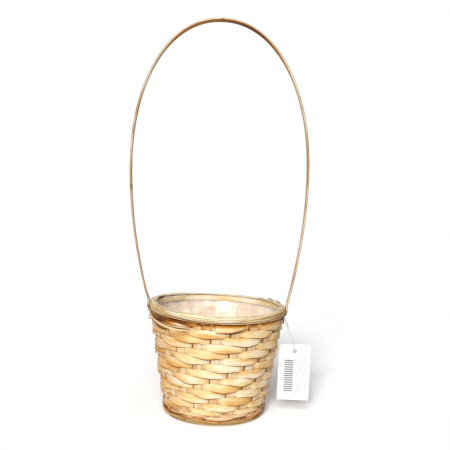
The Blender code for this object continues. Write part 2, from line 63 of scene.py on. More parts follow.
# Counts of the weave
STAKE_COUNT = 22
TWILL_REPEAT = 3
STRIP_STAKES = 21
THIN_STRIPS = 2
WIDE_STRIPS = 14
PACKING_REPEATS = (5, 4)
PACKING_STARTS = (0.7, 2.0)
EXTRA_STAKES = 2
LENGTHWISE_RIBS = 5
CROSSWISE_RIBS = 6

# Stakes
STAKE_WIDTH = 7.8 * MM
STAKE_THICKNESS = 0.8 * MM
STAKE_LAYER = 1.0 * MM
STAKE_WIDTH_SWAY = 0.035
STAKE_SIDE_SWAY = 0.2 * MM
CROSSING_MARGIN = 0.25 * MM
CORNER_RADIUS = 3.2 * MM
BASE_LIFT = 1.0 * MM
FOOT_RADIUS = 46.6 * MM
TOP_RADIUS = 61.6 * MM
WALL_BELLY = 0.8 * MM

# Weavers
WEAVER_WIDTH = 5.95 * MM
WEAVER_THICKNESS = 0.56 * MM
THIN_WIDTH = 2.4 * MM
CUT_END_PAST_MIDDLE = 0.5 * MM
CUT_END_SPRING = 0.7 * MM
CUT_END_DROP = 0.8 * MM
CUT_END_TILT = math.radians(16)
LAP_WIDTH = 0.75 * MM
WEAVE_CLEARANCE = 0.2 * MM
ROW_GAP = 0.3 * MM
SEAT_GAP = 0.3 * MM
OVER_OFFSET = 1.25 * MM
UNDER_OFFSET = -0.8 * MM
ARCH_RISE = 0.5 * MM
EDGE_DIP = 1.5 * MM
EDGE_PROUD = 0.8 * MM
# Below this height the weave is pulled tighter, and its leaves arch less
LOOSE_HEIGHT = 45 * MM
# As shares of the step from one stake to the next
BUTT_SHARE = 0.03
PLATEAU_SHARE = 0.28
SLIT_PLACE = 0.3
# How much a hand-cut strip varies: its width and its dip as shares, and how far it wanders out and up
WIDTH_SWAY = 0.09
DIP_SWAY = 0.5
OUT_SWAY = 0.1 * MM
LEVEL_SWAY = 0.3 * MM

# How much painted shade browns the weave, from 0 for fresh bamboo to 1 for the darkest
TUCKED_SHADE = 0.06
TOP_ROW_SHADE = 0.55
SLIT_SHADE = 0.9
LEAF_EDGE_SHADE = 1.0
LEAF_END_SHADE = 0.04
SIDE_SHADE = 0.24
AT_FOOT_SHADE = 0.5
# Heights over which the painted shade under the rim and at the foot fades
UNDER_RIM_START = 3.4 * MM
UNDER_RIM_FADE = 2.8 * MM
AT_FOOT_START = 2.5 * MM
AT_FOOT_FADE = 3.0 * MM

# Rim, foot and hoop
RIM_TILT_RISE = 0.9 * MM
RIM_SADDLE_RISE = 0.75 * MM
RIM_STRAND_DEPTH = 1.7 * MM
RIM_STRAND_HEIGHT = 1.7 * MM
RIM_STRAND_GAP = 0.3 * MM
CAP_HEIGHT = 1.3 * MM
HOOP_THICKNESS = 0.9 * MM
HOOP_HEIGHT = 5.2 * MM
HOOP_START = math.radians(128)
HOOP_LAP = math.radians(16)
HOOP_JOG = math.radians(8)
HOOP_BROWN_END = math.radians(3)
HOOP_FILM_GAP = 0.5 * MM
RIM_LAP = math.radians(24)
CAP_LAP = math.radians(20)
FOOT_LAP = math.radians(20)
FOOT_STARTS = (math.radians(70), math.radians(220))
FOOT_STRAND_LIFT = 0.25 * MM
FOOT_STRAND_SWELL = 1.05
FOOT_STRAND_HEIGHT = 2.0 * MM
FOOT_STRAND_DEPTHS = (2.6 * MM, 1.7 * MM)
LINER_DEPTH = 1.8 * MM
GATHER_ANGLE = math.radians(-100)
GATHER_REACH = math.radians(60)
# Where the strands gather, the outer cap spreads over them: how far out and down, and how much broader
CAP_SPREAD = 2.2 * MM
CAP_SAG = 1.9 * MM
CAP_SWELL = 2.8
# The two plies of a strand: how far apart they start, and how far each wanders across the other
PLY_STAGGER = math.radians(47)
PLY_DRIFT = 0.18 * MM
# How a strand wanders: in and out, together with the others, and by itself
STRAND_OUT_SWAY = 0.12 * MM
RIM_SWAY = 0.2 * MM
STRAND_SWAY = 0.24 * MM
SHAVED_END = 0.14

# Handle and ties
HANDLE_WIDTH = 5.2 * MM
HANDLE_THICKNESS = 2.2 * MM
HANDLE_RISE = 268.0 * MM
HANDLE_WIDEST_RISE = 128.0 * MM
HANDLE_HALF_SPAN = 84.0 * MM
HANDLE_FOOT_SLOPE_SHARE = 0.26
HANDLE_LEAN = 6.0 * MM
LEAN_EXPONENT = 0.8
CROWN_EXPONENT = 2.12
TONGUE_TOP_THICKNESS = 1.5 * MM
TONGUE_TIP_THICKNESS = 0.9 * MM
TONGUE_TIP_WIDTH = 4.0 * MM
CROWN_TWIST = math.radians(15)
# Painted shade on the handle's inner face, and the distance over which it weakens towards the left
INNER_SHADE = 0.95
INNER_SHADE_FADE = 60 * MM
# The left leg is shaved thinner and is browner below this height
LEFT_LEG_TOP = 215 * MM
LEFT_LEG_FADE = 60 * MM
LEFT_LEG_THINNING = 0.28
LEFT_LEG_STAIN = 0.2
# Joints of the cane, as places in millimetres
HANDLE_JOINTS = ((-6, 0, 370), (-86, 0, 212), (84, 0, 268))
JOINT_REACH = 2.5 * MM
JOINT_STAIN = 0.55
TIE_THICKNESS = 0.8 * MM
TIE_HEIGHT = 1.3 * MM
SLIVER_TIP = 0.35

# Tag: its hole, and its bands as spans across and up from the card's lowest corner
TAG_HOLE_RADIUS = 1.5 * MM
TAG_HOLE_BELOW_EDGE = 6.8 * MM
TAG_HOLE_SHADE_REACH = 0.5 * MM
BAND_ACROSS = (6.0 * MM, 14.5 * MM)
BAND_UP = (8.5 * MM, 40.0 * MM)
BAND_PITCH = 2.1 * MM
HAIRLINE_ACROSS = (17.0 * MM, 27.0 * MM)
HAIRLINE_UP = (6.0 * MM, 42.0 * MM)
HAIRLINE_PITCH = 1.7 * MM

# Film
FILM_THICKNESS = 0.2 * MM
FILM_CORNER = 5.0 * MM
FILM_EDGE_BELOW_RIM = 3.0 * MM
PLEAT_DEPTH = 0.9 * MM
FOLD_DEPTH = 0.35 * MM
# Its larger puffs: angle in degrees, share of the height, width in degrees and as a share, depth in mm
FILM_PUFFS = (
    (110, 0.84, 4, 0.05, 2.4),
    (99, 0.9, 4, 0.05, 1.9),
    (122, 0.8, 4, 0.05, 1.8),
    (84, 0.86, 4, 0.06, 1.0),
)

# Studio: each lamp's strength, then its softness, azimuth and elevation in degrees
ROOM_LIGHT = 0.2
KEY_LAMP = (1.92, 12, -14, 20)
TOP_LAMP = (1.08, 30, -8, 42)
FLOOR_HALF = 12.0
# What the camera sees of the floor is this much whiter than its paper
FLOOR_LIFT = 0.72

# Where the nylon loop passes the top row, and the room that it has there
LOOP_SPOT = math.radians(3.3)
LOOP_REACH = math.radians(3.5)
LOOP_ROOM = 0.6 * MM

# How finely the pieces are cut
STEPS_PER_STAKE = 16
RING_STEPS = 220
SPIN_STEPS = 180
FILM_ROWS = 32
WALL_STEPS = 20
CORNER_STEPS = 6
CROWN_STEPS = 60
LEG_STEPS = 34
BOW_FIRST_STEP = 3
BEND_STEPS = 6
TIE_STEPS = 4

# Worked out
STAKE_STEP = 2 * math.pi / STAKE_COUNT
FRONT = -math.pi / 2
BACK = math.pi / 2
RIGHT = 0.0
LEFT = math.pi
LEFT_FRONT = math.radians(-145)
FIRST = -THIN_STRIPS * STRIP_STAKES
LAST = WIDE_STRIPS * STRIP_STAKES + EXTRA_STAKES
ROW_PITCH = WEAVER_WIDTH + ROW_GAP
BASE_LEVEL = BASE_LIFT + STAKE_LAYER + WEAVE_CLEARANCE / 2
FOOT_TOP = 2 * FOOT_STRAND_HEIGHT + SEAT_GAP
FILM_FLOOR = BASE_LEVEL + STAKE_LAYER + WEAVE_CLEARANCE / 2 + SEAT_GAP
SECTION_FLAT = ((-1, 0), (-0.94, -0.75), (-0.8, -0.95), (0, -1.05), (0.8, -0.95), (0.94, -0.75))
SECTION_FLAT += tuple((-side, -face) for side, face in SECTION_FLAT)
SECTION_ROUND = tuple((math.cos(k * math.pi / 5), math.sin(k * math.pi / 5)) for k in range(10))


# Small sums


def smooth(share):
    share = min(1.0, max(0.0, share))
    return share * share * (3 - 2 * share)


def sway(seed, place, size):
    """A slow hand-made wandering, the same at every run."""
    return noise.noise(Vector((place, seed * 7.31, seed * 1.7))) * size * 2


def is_over(number):
    return number % TWILL_REPEAT != 0


def stake_angle(number):
    return FRONT + (LAST - number) * STAKE_STEP


def strip_width(number):
    if number > LAST:
        share = ((number - LAST) % STAKE_COUNT) / STAKE_COUNT
        return ROW_PITCH * (1 - share) / 2 - ROW_GAP
    share = min(1.0, max(0.0, number / STRIP_STAKES))
    return THIN_WIDTH + (WEAVER_WIDTH - THIN_WIDTH) * share


def row_heights():
    heights = {}
    for number in range(FIRST - 1, LAST + 2 * STAKE_COUNT):
        if number < FIRST + STAKE_COUNT:
            turns = (number - FIRST) / STAKE_COUNT
            heights[number] = FOOT_TOP + SEAT_GAP + THIN_WIDTH / 2 + turns * (THIN_WIDTH + ROW_GAP)
        else:
            below = number - STAKE_COUNT
            half_widths = (strip_width(number) + strip_width(below)) / 2
            heights[number] = heights[below] + half_widths + ROW_GAP
    return heights


HEIGHTS = row_heights()
RIM_BOTTOM = HEIGHTS[LAST] + WEAVER_WIDTH / 2 + SEAT_GAP
RIM_TOP = RIM_BOTTOM + 3 * RIM_STRAND_HEIGHT + 2 * RIM_STRAND_GAP
STAKE_TOP = RIM_TOP - CAP_HEIGHT
FILM_TOP = RIM_TOP - FILM_EDGE_BELOW_RIM
WALL_LEAN = math.atan((TOP_RADIUS - FOOT_RADIUS) / (RIM_BOTTOM - BASE_LEVEL))
CORNER_START = FOOT_RADIUS - CORNER_RADIUS * math.cos(WALL_LEAN)
WALL_START = BASE_LEVEL + CORNER_RADIUS * (1 - math.sin(WALL_LEAN))


def between(table, number):
    whole = math.floor(number)
    part = number - whole
    return table(whole) * (1 - part) + table(whole + 1) * part


def height_at(number):
    return between(HEIGHTS.get, number)


def width_at(number):
    return between(strip_width, number)


def wall_radius(height):
    share = (height - WALL_START) / (RIM_BOTTOM - WALL_START)
    return FOOT_RADIUS + (TOP_RADIUS - FOOT_RADIUS) * share + WALL_BELLY * 4 * share * (1 - share)


def outward(angle):
    return Vector((math.cos(angle), math.sin(angle), 0))


def along(angle):
    return Vector((-math.sin(angle), math.cos(angle), 0))


def lift(angle, height):
    rise = RIM_SADDLE_RISE * math.cos(2 * angle) - RIM_TILT_RISE * math.cos(angle)
    return rise * height / RIM_TOP


def on_wall(angle, across, height, offset):
    level = height + lift(angle, height)
    return outward(angle) * (wall_radius(height) + offset) + along(angle) * across + Vector((0, 0, level))


def wall_up(angle):
    return outward(angle) * math.sin(WALL_LEAN) + Vector((0, 0, math.cos(WALL_LEAN)))


def wall_out(angle):
    return outward(angle) * math.cos(WALL_LEAN) - Vector((0, 0, math.sin(WALL_LEAN)))


# The rim's inner and outer faces, and the line of the handle's legs outside it
RIM_INSIDE = wall_radius(RIM_TOP) + STAKE_LAYER / 2 + SEAT_GAP
RIM_OUTSIDE = RIM_INSIDE + RIM_STRAND_DEPTH
LEG_LINE = RIM_OUTSIDE + SEAT_GAP + HANDLE_THICKNESS / 2


# Making pieces


def finished(name, bm, finish, slot, replaces=(), sharp=38):
    """The mesh as a piece of the basket; edges turned by more than sharp degrees stay crisp."""
    bmesh.ops.recalc_face_normals(bm, faces=bm.faces)
    mesh = bpy.data.meshes.new(name)
    bm.to_mesh(mesh)
    bm.free()
    mesh.shade_smooth()
    mesh.set_sharp_from_angle(angle=math.radians(sharp))
    mesh.materials.append(finish)
    piece = bpy.data.objects.new(name, mesh)
    bpy.context.scene.collection.objects.link(piece)
    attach(piece, "basket")
    if replaces:
        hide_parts(*replaces)


class Station(NamedTuple):
    """A place along a strip: its middle, half its width, half its thickness, and how brown it is.

    tone browns the whole strip, lower and upper only an edge, and inner only its inner face; on the weavers
    all of it, and on the handle the inner face, is painted shade.
    """

    centre: Vector
    side: Vector
    face: Vector
    tone: float = 0.0
    lower: float = 0.0
    upper: float = 0.0
    inner: float = 0.0


def painted_shade_under_rim_and_at_foot(point):
    """How much painted shade browns the outside just under the rim, where the rim casts its shadow, and low
    down just above the foot.
    """
    level = point.z - lift(math.atan2(point.y, point.x), point.z)
    if not FOOT_TOP < level < RIM_BOTTOM or point.xy.length < wall_radius(level):
        return 0.0
    under_rim_shade = smooth((level - RIM_BOTTOM + UNDER_RIM_START) / UNDER_RIM_FADE)
    at_foot = smooth((FOOT_TOP + AT_FOOT_START - level) / AT_FOOT_FADE) * AT_FOOT_SHADE
    return max(under_rim_shade, at_foot)


def drawn_out(bm, stations, section, start_along):
    """One section drawn out from station to station. UV maps: Fibre in metres, Shares from 0 to 1."""
    fibre = bm.loops.layers.uv.get("Fibre") or bm.loops.layers.uv.new("Fibre")
    shares = bm.loops.layers.uv.get("Shares") or bm.loops.layers.uv.new("Shares")
    places = {}

    def shape(verts, station, run):
        for vertex, (side, face) in zip(verts, section):
            vertex.co = station.centre + station.side * side + station.face * face
            # Painted shade along the edges, on the inner face, and under the rim and at the foot; the tone
            # keeps the darkest of these and the stain
            edge = station.upper * smooth(6.5 * side - 5) + station.lower * smooth(-6.5 * side - 5)
            inner = station.inner * smooth(-1.4 * face - 0.4)
            tone = max(station.tone, edge, inner, painted_shade_under_rim_and_at_foot(vertex.co))
            places[vertex] = (run, side * station.side.length, tone, (side + 1) / 2)

    end = bm.faces.new([bm.verts.new((index, 0, 0)) for index in range(len(section))])
    shape(end.verts, stations[0], 0.0)
    first = list(end.verts)
    run = 0.0
    for before, station in zip(stations, stations[1:]):
        run += (station.centre - before.centre).length
        end = bmesh.ops.extrude_discrete_faces(bm, faces=[end])["faces"][0]
        shape(end.verts, station, run)
    bm.faces.new(first)
    for vertex, (place, across, tone, share) in places.items():
        for loop in vertex.link_loops:
            loop[fibre].uv = (start_along + place, across)
            loop[shares].uv = (tone, share)


def strip(name, stations, finish, section=SECTION_FLAT, seed=0, **settings):
    bm = bmesh.new()
    drawn_out(bm, stations, section, seed * 1.37)
    finished(name, bm, finish, **settings)


def through(stations, per_span):
    """More stations on a smooth line through the given ones."""
    found = []
    last = len(stations) - 1
    for index in range(last):
        near = [stations[min(last, max(0, index + step))] for step in (-1, 0, 1, 2)]
        for piece in range(per_span):
            t = piece / per_span
            weights = (
                (-t + 2 * t * t - t**3) / 2,
                (2 - 5 * t * t + 3 * t**3) / 2,
                (t + 4 * t * t - 3 * t**3) / 2,
                (-t * t + t**3) / 2,
            )
            vectors = [sum((s[k] * w for s, w in zip(near, weights)), Vector()) for k in range(3)]
            tones = [sum(s[k] * w for s, w in zip(near, weights)) for k in (3, 4, 5, 6)]
            found.append(Station(*vectors, *tones))
    found.append(stations[-1])
    return found


# Materials


def linear(hex_colour):
    """An sRGB hex colour as the linear numbers that a shader takes."""
    found = []
    for start in (0, 2, 4):
        value = int(hex_colour[start : start + 2], 16) / 255
        found.append(value / 12.92 if value <= 0.04045 else ((value + 0.055) / 1.055) ** 2.4)
    return (*found, 1)


def node(owner, kind, inputs=None, stops=(), **settings):
    """Adds a node with its settings; an input is a value or another node's output, stops are a ramp's."""
    made = owner.node_tree.nodes.new(f"ShaderNode{kind}")
    for key, value in settings.items():
        setattr(made, key, value)
    for key, value in (inputs or {}).items():
        if isinstance(value, bpy.types.NodeSocket):
            owner.node_tree.links.new(value, made.inputs[key])
        else:
            made.inputs[key].default_value = value
    for index, (place, colour) in enumerate(stops):
        elements = made.color_ramp.elements
        if index == 0:
            elements.remove(elements[1])
            elements[0].position = place
        element = elements.new(place) if index else elements[0]
        element.color = linear(colour)
    return made


def new_material(name):
    material = bpy.data.materials.new(name)
    material.use_nodes = True
    material.node_tree.nodes.clear()
    return material


def streaks(material, coordinate, length, width, detail=2.0):
    """Noise drawn out along the fibre: each streak about that long and wide."""
    place = node(material, "Mapping", {"Vector": coordinate, "Scale": (1 / length, 1 / width, 1)})
    drawn = {"Vector": place.outputs["Vector"], "Scale": 1.0, "Detail": detail, "Roughness": 0.6}
    return node(material, "TexNoise", drawn).outputs["Fac"]


def surfaced(material, relief, strength, depth, skin):
    """Finishes a material: a fine relief of that depth, and the colour, roughness and index of its skin."""
    raised = {"Height": relief, "Strength": strength, "Distance": depth}
    bump = node(material, "Bump", raised).outputs["Normal"]
    shader = node(material, "BsdfPrincipled", {**skin, "Normal": bump}).outputs["BSDF"]
    node(material, "OutputMaterial", {"Surface": shader})
    return material


WHITE = "FFFFFF"

# Colours across a strip, from its lower edge to its upper one: both shaved edges of a strip are browner,
# partly as painted shade where it meets the rows above and below
SHAVED_EDGE_TONE_AND_SHADE = ((0.0, "C08C4A"), (0.06, WHITE), (0.94, WHITE), (1.0, "C99858"))
STAKE_EDGES = ((0.0, "E2C294"), (0.05, WHITE), (0.95, WHITE), (1.0, "E2C294"))
# A strand has painted shade along its lower side, where it meets the next one
STRAND_UNDERSIDE_SHADE = ((0.0, "5A300A"), (0.18, "A06C30"), (0.44, WHITE))
# A foot strand has darker painted shade along its lower side, down by the floor
FOOT_UNDERSIDE_SHADE = ((0.0, "361A02"), (0.32, "7A480E"), (0.56, WHITE))
# The cap is a bundle of fine strands: it has painted shade along its lower side, and dark lines of painted
# shade for the grooves at two more places
CAP_GROOVE_SHADE = ((0.0, "4A2606"), (0.1, "8A5420"), (0.2, WHITE), (0.28, WHITE), (0.35, "603608"), (0.42, WHITE))
CAP_GROOVE_SHADE += ((0.56, WHITE), (0.62, "603608"), (0.68, WHITE))
# The handle strip has a fine brown line of painted shade beside each corner, where it rounds away
CORNER_SHADE_LINES = ((0.0, WHITE), (0.035, "7A4A1C"), (0.1, WHITE), (0.9, WHITE), (0.965, "7A4A1C"), (1.0, WHITE))
# How bamboo browns with age and damp, and how dark the painted shade is, from fresh to darkest
BROWNING_AND_SHADE = ((0.0, WHITE), (0.45, "DA9E48"), (1.0, "5E2E02"))


def bamboo(name, tones, streak_tone, roughness, edges):
    """Split bamboo: straight lengthwise fibre, slow changes of tone, darker shaved edges, stain and painted
    shade, satin skin.
    """
    material = new_material(name)
    fibre = node(material, "UVMap", uv_map="Fibre").outputs["UV"]
    shares = node(material, "UVMap", uv_map="Shares").outputs["UV"]
    parts = node(material, "SeparateXYZ", {"Vector": shares}).outputs
    # Tone drifts slowly along a strip, and from one strip to the next
    drift = streaks(material, fibre, 45 * MM, 12 * MM)
    stops = zip((0.38, 0.49, 0.6), tones)
    colour = node(material, "ValToRGB", {"Fac": drift}, stops=stops).outputs["Color"]
    # Fibre bundles are near 0.2 mm wide; they are drawn coarser so that they show
    bundles = streaks(material, fibre, 22 * MM, 0.4 * MM, detail=3.0)
    # Brown flecks where the skin was scraped
    flecks = streaks(material, fibre, 6 * MM, 1.0 * MM)
    # The shaved edges are browner, partly as painted shade; a strip is browned with painted shade where it
    # dives behind another, and with stain where it is cut off
    layers = (
        (bundles, 0.55, ((0.34, streak_tone), (0.56, WHITE))),
        (flecks, 0.7, ((0.64, WHITE), (0.74, "B98146"))),
        (parts["Y"], 1.0, edges),
        (parts["X"], 1.0, BROWNING_AND_SHADE),
    )
    for share, strength, stops in layers:
        brown = node(material, "ValToRGB", {"Fac": share}, stops=stops).outputs["Color"]
        both = {0: strength, 6: colour, 7: brown}
        colour = node(material, "Mix", both, data_type="RGBA", blend_type="MULTIPLY").outputs[2]
    worn = {"Value": bundles, "From Min": 0.3, "From Max": 0.7}
    worn.update({"To Min": roughness + 0.12, "To Max": roughness - 0.06})
    rough = node(material, "MapRange", worn).outputs["Result"]
    skin = {"Base Color": colour, "Roughness": rough, "IOR": 1.5, "Specular IOR Level": 0.15}
    return surfaced(material, bundles, 0.5, 0.14 * MM, skin)


def clear_film(name):
    """Soft plastic film: thin and a little milky, so the weave shows through, with wet-looking highlights."""
    material = new_material(name)
    place = node(material, "TexCoord").outputs["Object"]
    creases = node(material, "TexNoise", {"Vector": place, "Scale": 1 / (14 * MM), "Detail": 3.0})
    raised = {"Height": creases.outputs["Fac"], "Strength": 0.6, "Distance": 1.0 * MM}
    bump = node(material, "Bump", raised).outputs["Normal"]
    clear = node(material, "BsdfTransparent", {"Color": linear("FFFEFC")}).outputs["BSDF"]
    milky = {"Base Color": linear("FFF8F2"), "Roughness": 0.6, "IOR": 1.49, "Normal": bump}
    milk = node(material, "BsdfPrincipled", milky).outputs["BSDF"]
    gloss = node(material, "BsdfGlossy", {"Roughness": 0.26, "Normal": bump}).outputs["BSDF"]
    facing = node(material, "LayerWeight", {"Blend": 0.25, "Normal": bump}).outputs["Facing"]
    # Where it turns away from the eye, it looks milkier and wetter
    surface = clear
    for coat, least, most in ((milk, 0.34, 0.5), (gloss, 0.13, 0.24)):
        grown = {"Value": facing, "To Min": least, "To Max": most}
        share = node(material, "MapRange", grown).outputs["Result"]
        surface = node(material, "MixShader", {0: share, 1: surface, 2: coat}).outputs["Shader"]
    # So thin a film sends the light on to the weave, and does not shade it
    shade = node(material, "LightPath").outputs["Is Shadow Ray"]
    surface = node(material, "MixShader", {0: shade, 1: surface, 2: clear}).outputs["Shader"]
    node(material, "OutputMaterial", {"Surface": surface})
    return material


def moulded_nylon(name):
    """Nylon loop: milky, half clear, smooth from the mould."""
    material = new_material(name)
    place = node(material, "TexCoord").outputs["Object"]
    haze = node(material, "TexNoise", {"Vector": place, "Scale": 1 / (2.5 * MM)}).outputs["Fac"]
    tone = node(material, "ValToRGB", {"Fac": haze}, stops=((0.3, "D9DDE0"), (0.7, "F2F4F5")))
    skin = {"Base Color": tone.outputs["Color"], "Roughness": 0.28, "IOR": 1.53, "Transmission Weight": 0.2}
    return surfaced(material, haze, 0.2, 0.05 * MM, skin)


def where_all(material, tests):
    """1 where every test holds, and 0 elsewhere; a test is an operation and the two values it compares."""
    held = 1.0
    for operation, first, second in tests:
        test = node(material, "Math", {0: first, 1: second}, operation=operation).outputs[0]
        held = node(material, "Math", {0: held, 1: test}, operation="MULTIPLY").outputs[0]
    return held


def tag_card(name):
    """Coated card, smooth and near white, with plain grey bands and hairlines on its front."""
    low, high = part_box("swing_tag")
    middle = (low + high) / 2
    material = new_material(name)
    place = node(material, "TexCoord").outputs["Object"]
    parts = node(material, "SeparateXYZ", {"Vector": place}).outputs

    def bands(across, up, axis, pitch, share):
        """A block of even bands, which repeat along the given axis."""
        turns = node(material, "Math", {0: parts[axis], 1: pitch}, operation="DIVIDE").outputs[0]
        phase = node(material, "Math", {0: turns}, operation="FRACT").outputs[0]
        tests = [("LESS_THAN", parts["Y"], middle.y), ("LESS_THAN", phase, share)]
        for way, corner, (start, end) in (("X", low.x, across), ("Z", low.z, up)):
            tests += [("GREATER_THAN", parts[way], corner + start), ("LESS_THAN", parts[way], corner + end)]
        return where_all(material, tests)

    mottle = node(material, "TexNoise", {"Vector": place, "Scale": 1 / (1.2 * MM)}).outputs["Fac"]
    colour = node(material, "ValToRGB", {"Fac": mottle}, stops=((0.3, "ECECED"), (0.7, "F4F4F5")))
    colour = colour.outputs["Color"]
    # Round the punched hole, a grey ring of painted shade
    hole = Vector((middle.x, middle.y, high.z - TAG_HOLE_BELOW_EDGE))
    reach = node(material, "VectorMath", {0: place, 1: hole}, operation="DISTANCE").outputs["Value"]
    greys = (
        (bands(BAND_ACROSS, BAND_UP, "Z", BAND_PITCH, 0.5), "6E6F71"),
        (bands(HAIRLINE_ACROSS, HAIRLINE_UP, "X", HAIRLINE_PITCH, 0.3), "D3D4D6"),
        (where_all(material, [("LESS_THAN", reach, TAG_HOLE_RADIUS + TAG_HOLE_SHADE_REACH)]), "9C9DA0"),
    )
    for share, grey in greys:
        both = {0: share, 6: colour, 7: linear(grey)}
        colour = node(material, "Mix", both, data_type="RGBA").outputs[2]
    return surfaced(material, mottle, 0.15, 0.05 * MM, {"Base Color": colour, "Roughness": 0.48, "IOR": 1.5})


# The weavers are shaved palest and the stakes are a little redder. Strands keep more of their yellow skin,
# and those at the foot are weathered browner; the brown finish also makes the dark strips of painted shade
CREAM = bamboo("Shaved bamboo weaver", ("EAC076", "FCE7B0", "FFF9E0"), "E8BE80", 0.4, SHAVED_EDGE_TONE_AND_SHADE)
GOLDEN = bamboo("Split bamboo stake", ("E4BC86", "F4D6A6", "FCEACA"), "DAAC74", 0.45, STAKE_EDGES)
RIM = bamboo("Bamboo rim strand", ("DFB66E", "F4DAA0", "FCEEC8"), "CE9C4C", 0.36, STRAND_UNDERSIDE_SHADE)
GREEN = bamboo("Bamboo strand with its skin", ("EED69C", "FDF0CC", "FFFCEA"), "DDB468", 0.34, CAP_GROOVE_SHADE)
BROWN = bamboo("Weathered bamboo strand and painted shade strips", ("CA9848", "ECC880", "FCE8B8"), "B0823E", 0.4, FOOT_UNDERSIDE_SHADE)
PALE = bamboo("Peeled bamboo splint", ("F0D6A0", "F8E8C2", "FFF6DE"), "DDB880", 0.4, STAKE_EDGES)
TAN = bamboo("Bent bamboo handle strip", ("D8B680", "F0DAAE", "FCF0D2"), "BE965E", 0.4, CORNER_SHADE_LINES)
FILM = clear_film("Soft plastic film")
NYLON = moulded_nylon("Moulded nylon")
CARD = tag_card("Coated card")


# Where the handle's legs meet the weave


def gap_number(angle):
    turns = (angle - stake_angle(LAST)) / STAKE_STEP
    return LAST - (turns % STAKE_COUNT)


def tuck_number(angle):
    number = gap_number(angle)
    while not (is_over(math.floor(number)) and is_over(math.ceil(number))):
        number -= STAKE_COUNT
    return number


TUCKS = {RIGHT: tuck_number(RIGHT), LEFT: tuck_number(LEFT)}
LEG_FACE = SEAT_GAP
TUCK_OFFSET = LEG_FACE + TONGUE_TOP_THICKNESS + WEAVE_CLEARANCE + WEAVER_THICKNESS / 2
BEHIND_OFFSET = -0.6 * MM
LEG_ROOM = 1.6 * MM


def tuck_edges(angle):
    number = TUCKS[angle]
    half = width_at(number) / 2
    return height_at(number) - half, height_at(number) + half


def pushed_by_leg(number, offset):
    """A weaver bows out over a leg's tongue, and keeps behind a leg above it."""
    for tuck in TUCKS.values():
        turns = round((number - tuck) / STAKE_COUNT)
        if turns < 0:
            continue
        away = abs(number - tuck - turns * STAKE_COUNT) * STAKE_STEP * wall_radius(height_at(number))
        share = 1 - smooth((away - HANDLE_WIDTH / 2 - SEAT_GAP) / LEG_ROOM)
        target = TUCK_OFFSET if turns == 0 else BEHIND_OFFSET
        offset += (target - offset) * share
    return offset


# Weavers


def weave_state(number):
    """1 outside the stakes, 0 behind one, and a smooth change in the gaps between."""
    whole = math.floor(number)
    here = is_over(whole)
    there = is_over(whole + 1)
    share = smooth((number - whole - PLATEAU_SHARE) / (1 - 2 * PLATEAU_SHARE))
    return here + (there - here) * share


def arch(number):
    """1 at the middle of a stretch over two stakes, and 0 where it dives behind its neighbours."""
    away = number % TWILL_REPEAT - TWILL_REPEAT / 2
    return math.cos(math.pi / 2 * min(1, abs(away))) ** 2


def cut_end(number):
    """1 at the cut end of the last strip, which springs out of the weave, and 0 elsewhere."""
    return smooth((number - LAST + 0.55) * 2.4) if number < LAST + 0.1 else 0.0


def weaver_place(number, seed):
    """A strip's middle, half its width and half its thickness, at a stake or between two."""
    over = weave_state(number)
    arched = arch(number)
    cut = cut_end(number)
    angle = stake_angle(number)
    scale = width_at(number) / WEAVER_WIDTH
    loose = scale * (0.5 + 0.5 * smooth(height_at(number) / LOOSE_HEIGHT))
    width = width_at(number) * (1 + sway(seed, number * 0.6, WIDTH_SWAY)) + LAP_WIDTH * min(1.0, scale * 2)
    dip = EDGE_DIP * arched * loose * (1 + sway(seed + 0.5, number * 0.8, DIP_SWAY))
    offset = UNDER_OFFSET + (OVER_OFFSET - UNDER_OFFSET) * over + ARCH_RISE * arched * loose
    offset = pushed_by_leg(number, offset + sway(seed + 0.2, number * 0.8, OUT_SWAY)) + CUT_END_SPRING * cut
    if number > LAST - STAKE_COUNT:
        # The top row keeps clear of the nylon loop, also when the loop swings up
        away = math.remainder(angle - LOOP_SPOT, 2 * math.pi) / LOOP_REACH
        offset -= LOOP_ROOM * math.exp(-(away**2))
    proud = EDGE_PROUD * over * (0.4 + 0.8 * arched) * loose
    tilt = math.asin(min(0.9, proud / (width / 2))) + CUT_END_TILT * cut
    height = height_at(number) - dip / 2 - CUT_END_DROP * cut
    height += sway(seed + 0.3, number * 0.5, LEVEL_SWAY) * scale
    up = wall_up(angle)
    out = wall_out(angle)
    upper = up * math.cos(tilt) - out * math.sin(tilt)
    face = out * math.cos(tilt) + up * math.sin(tilt)
    return on_wall(angle, 0, height, offset), upper * (width + dip) / 2, face * WEAVER_THICKNESS / 2


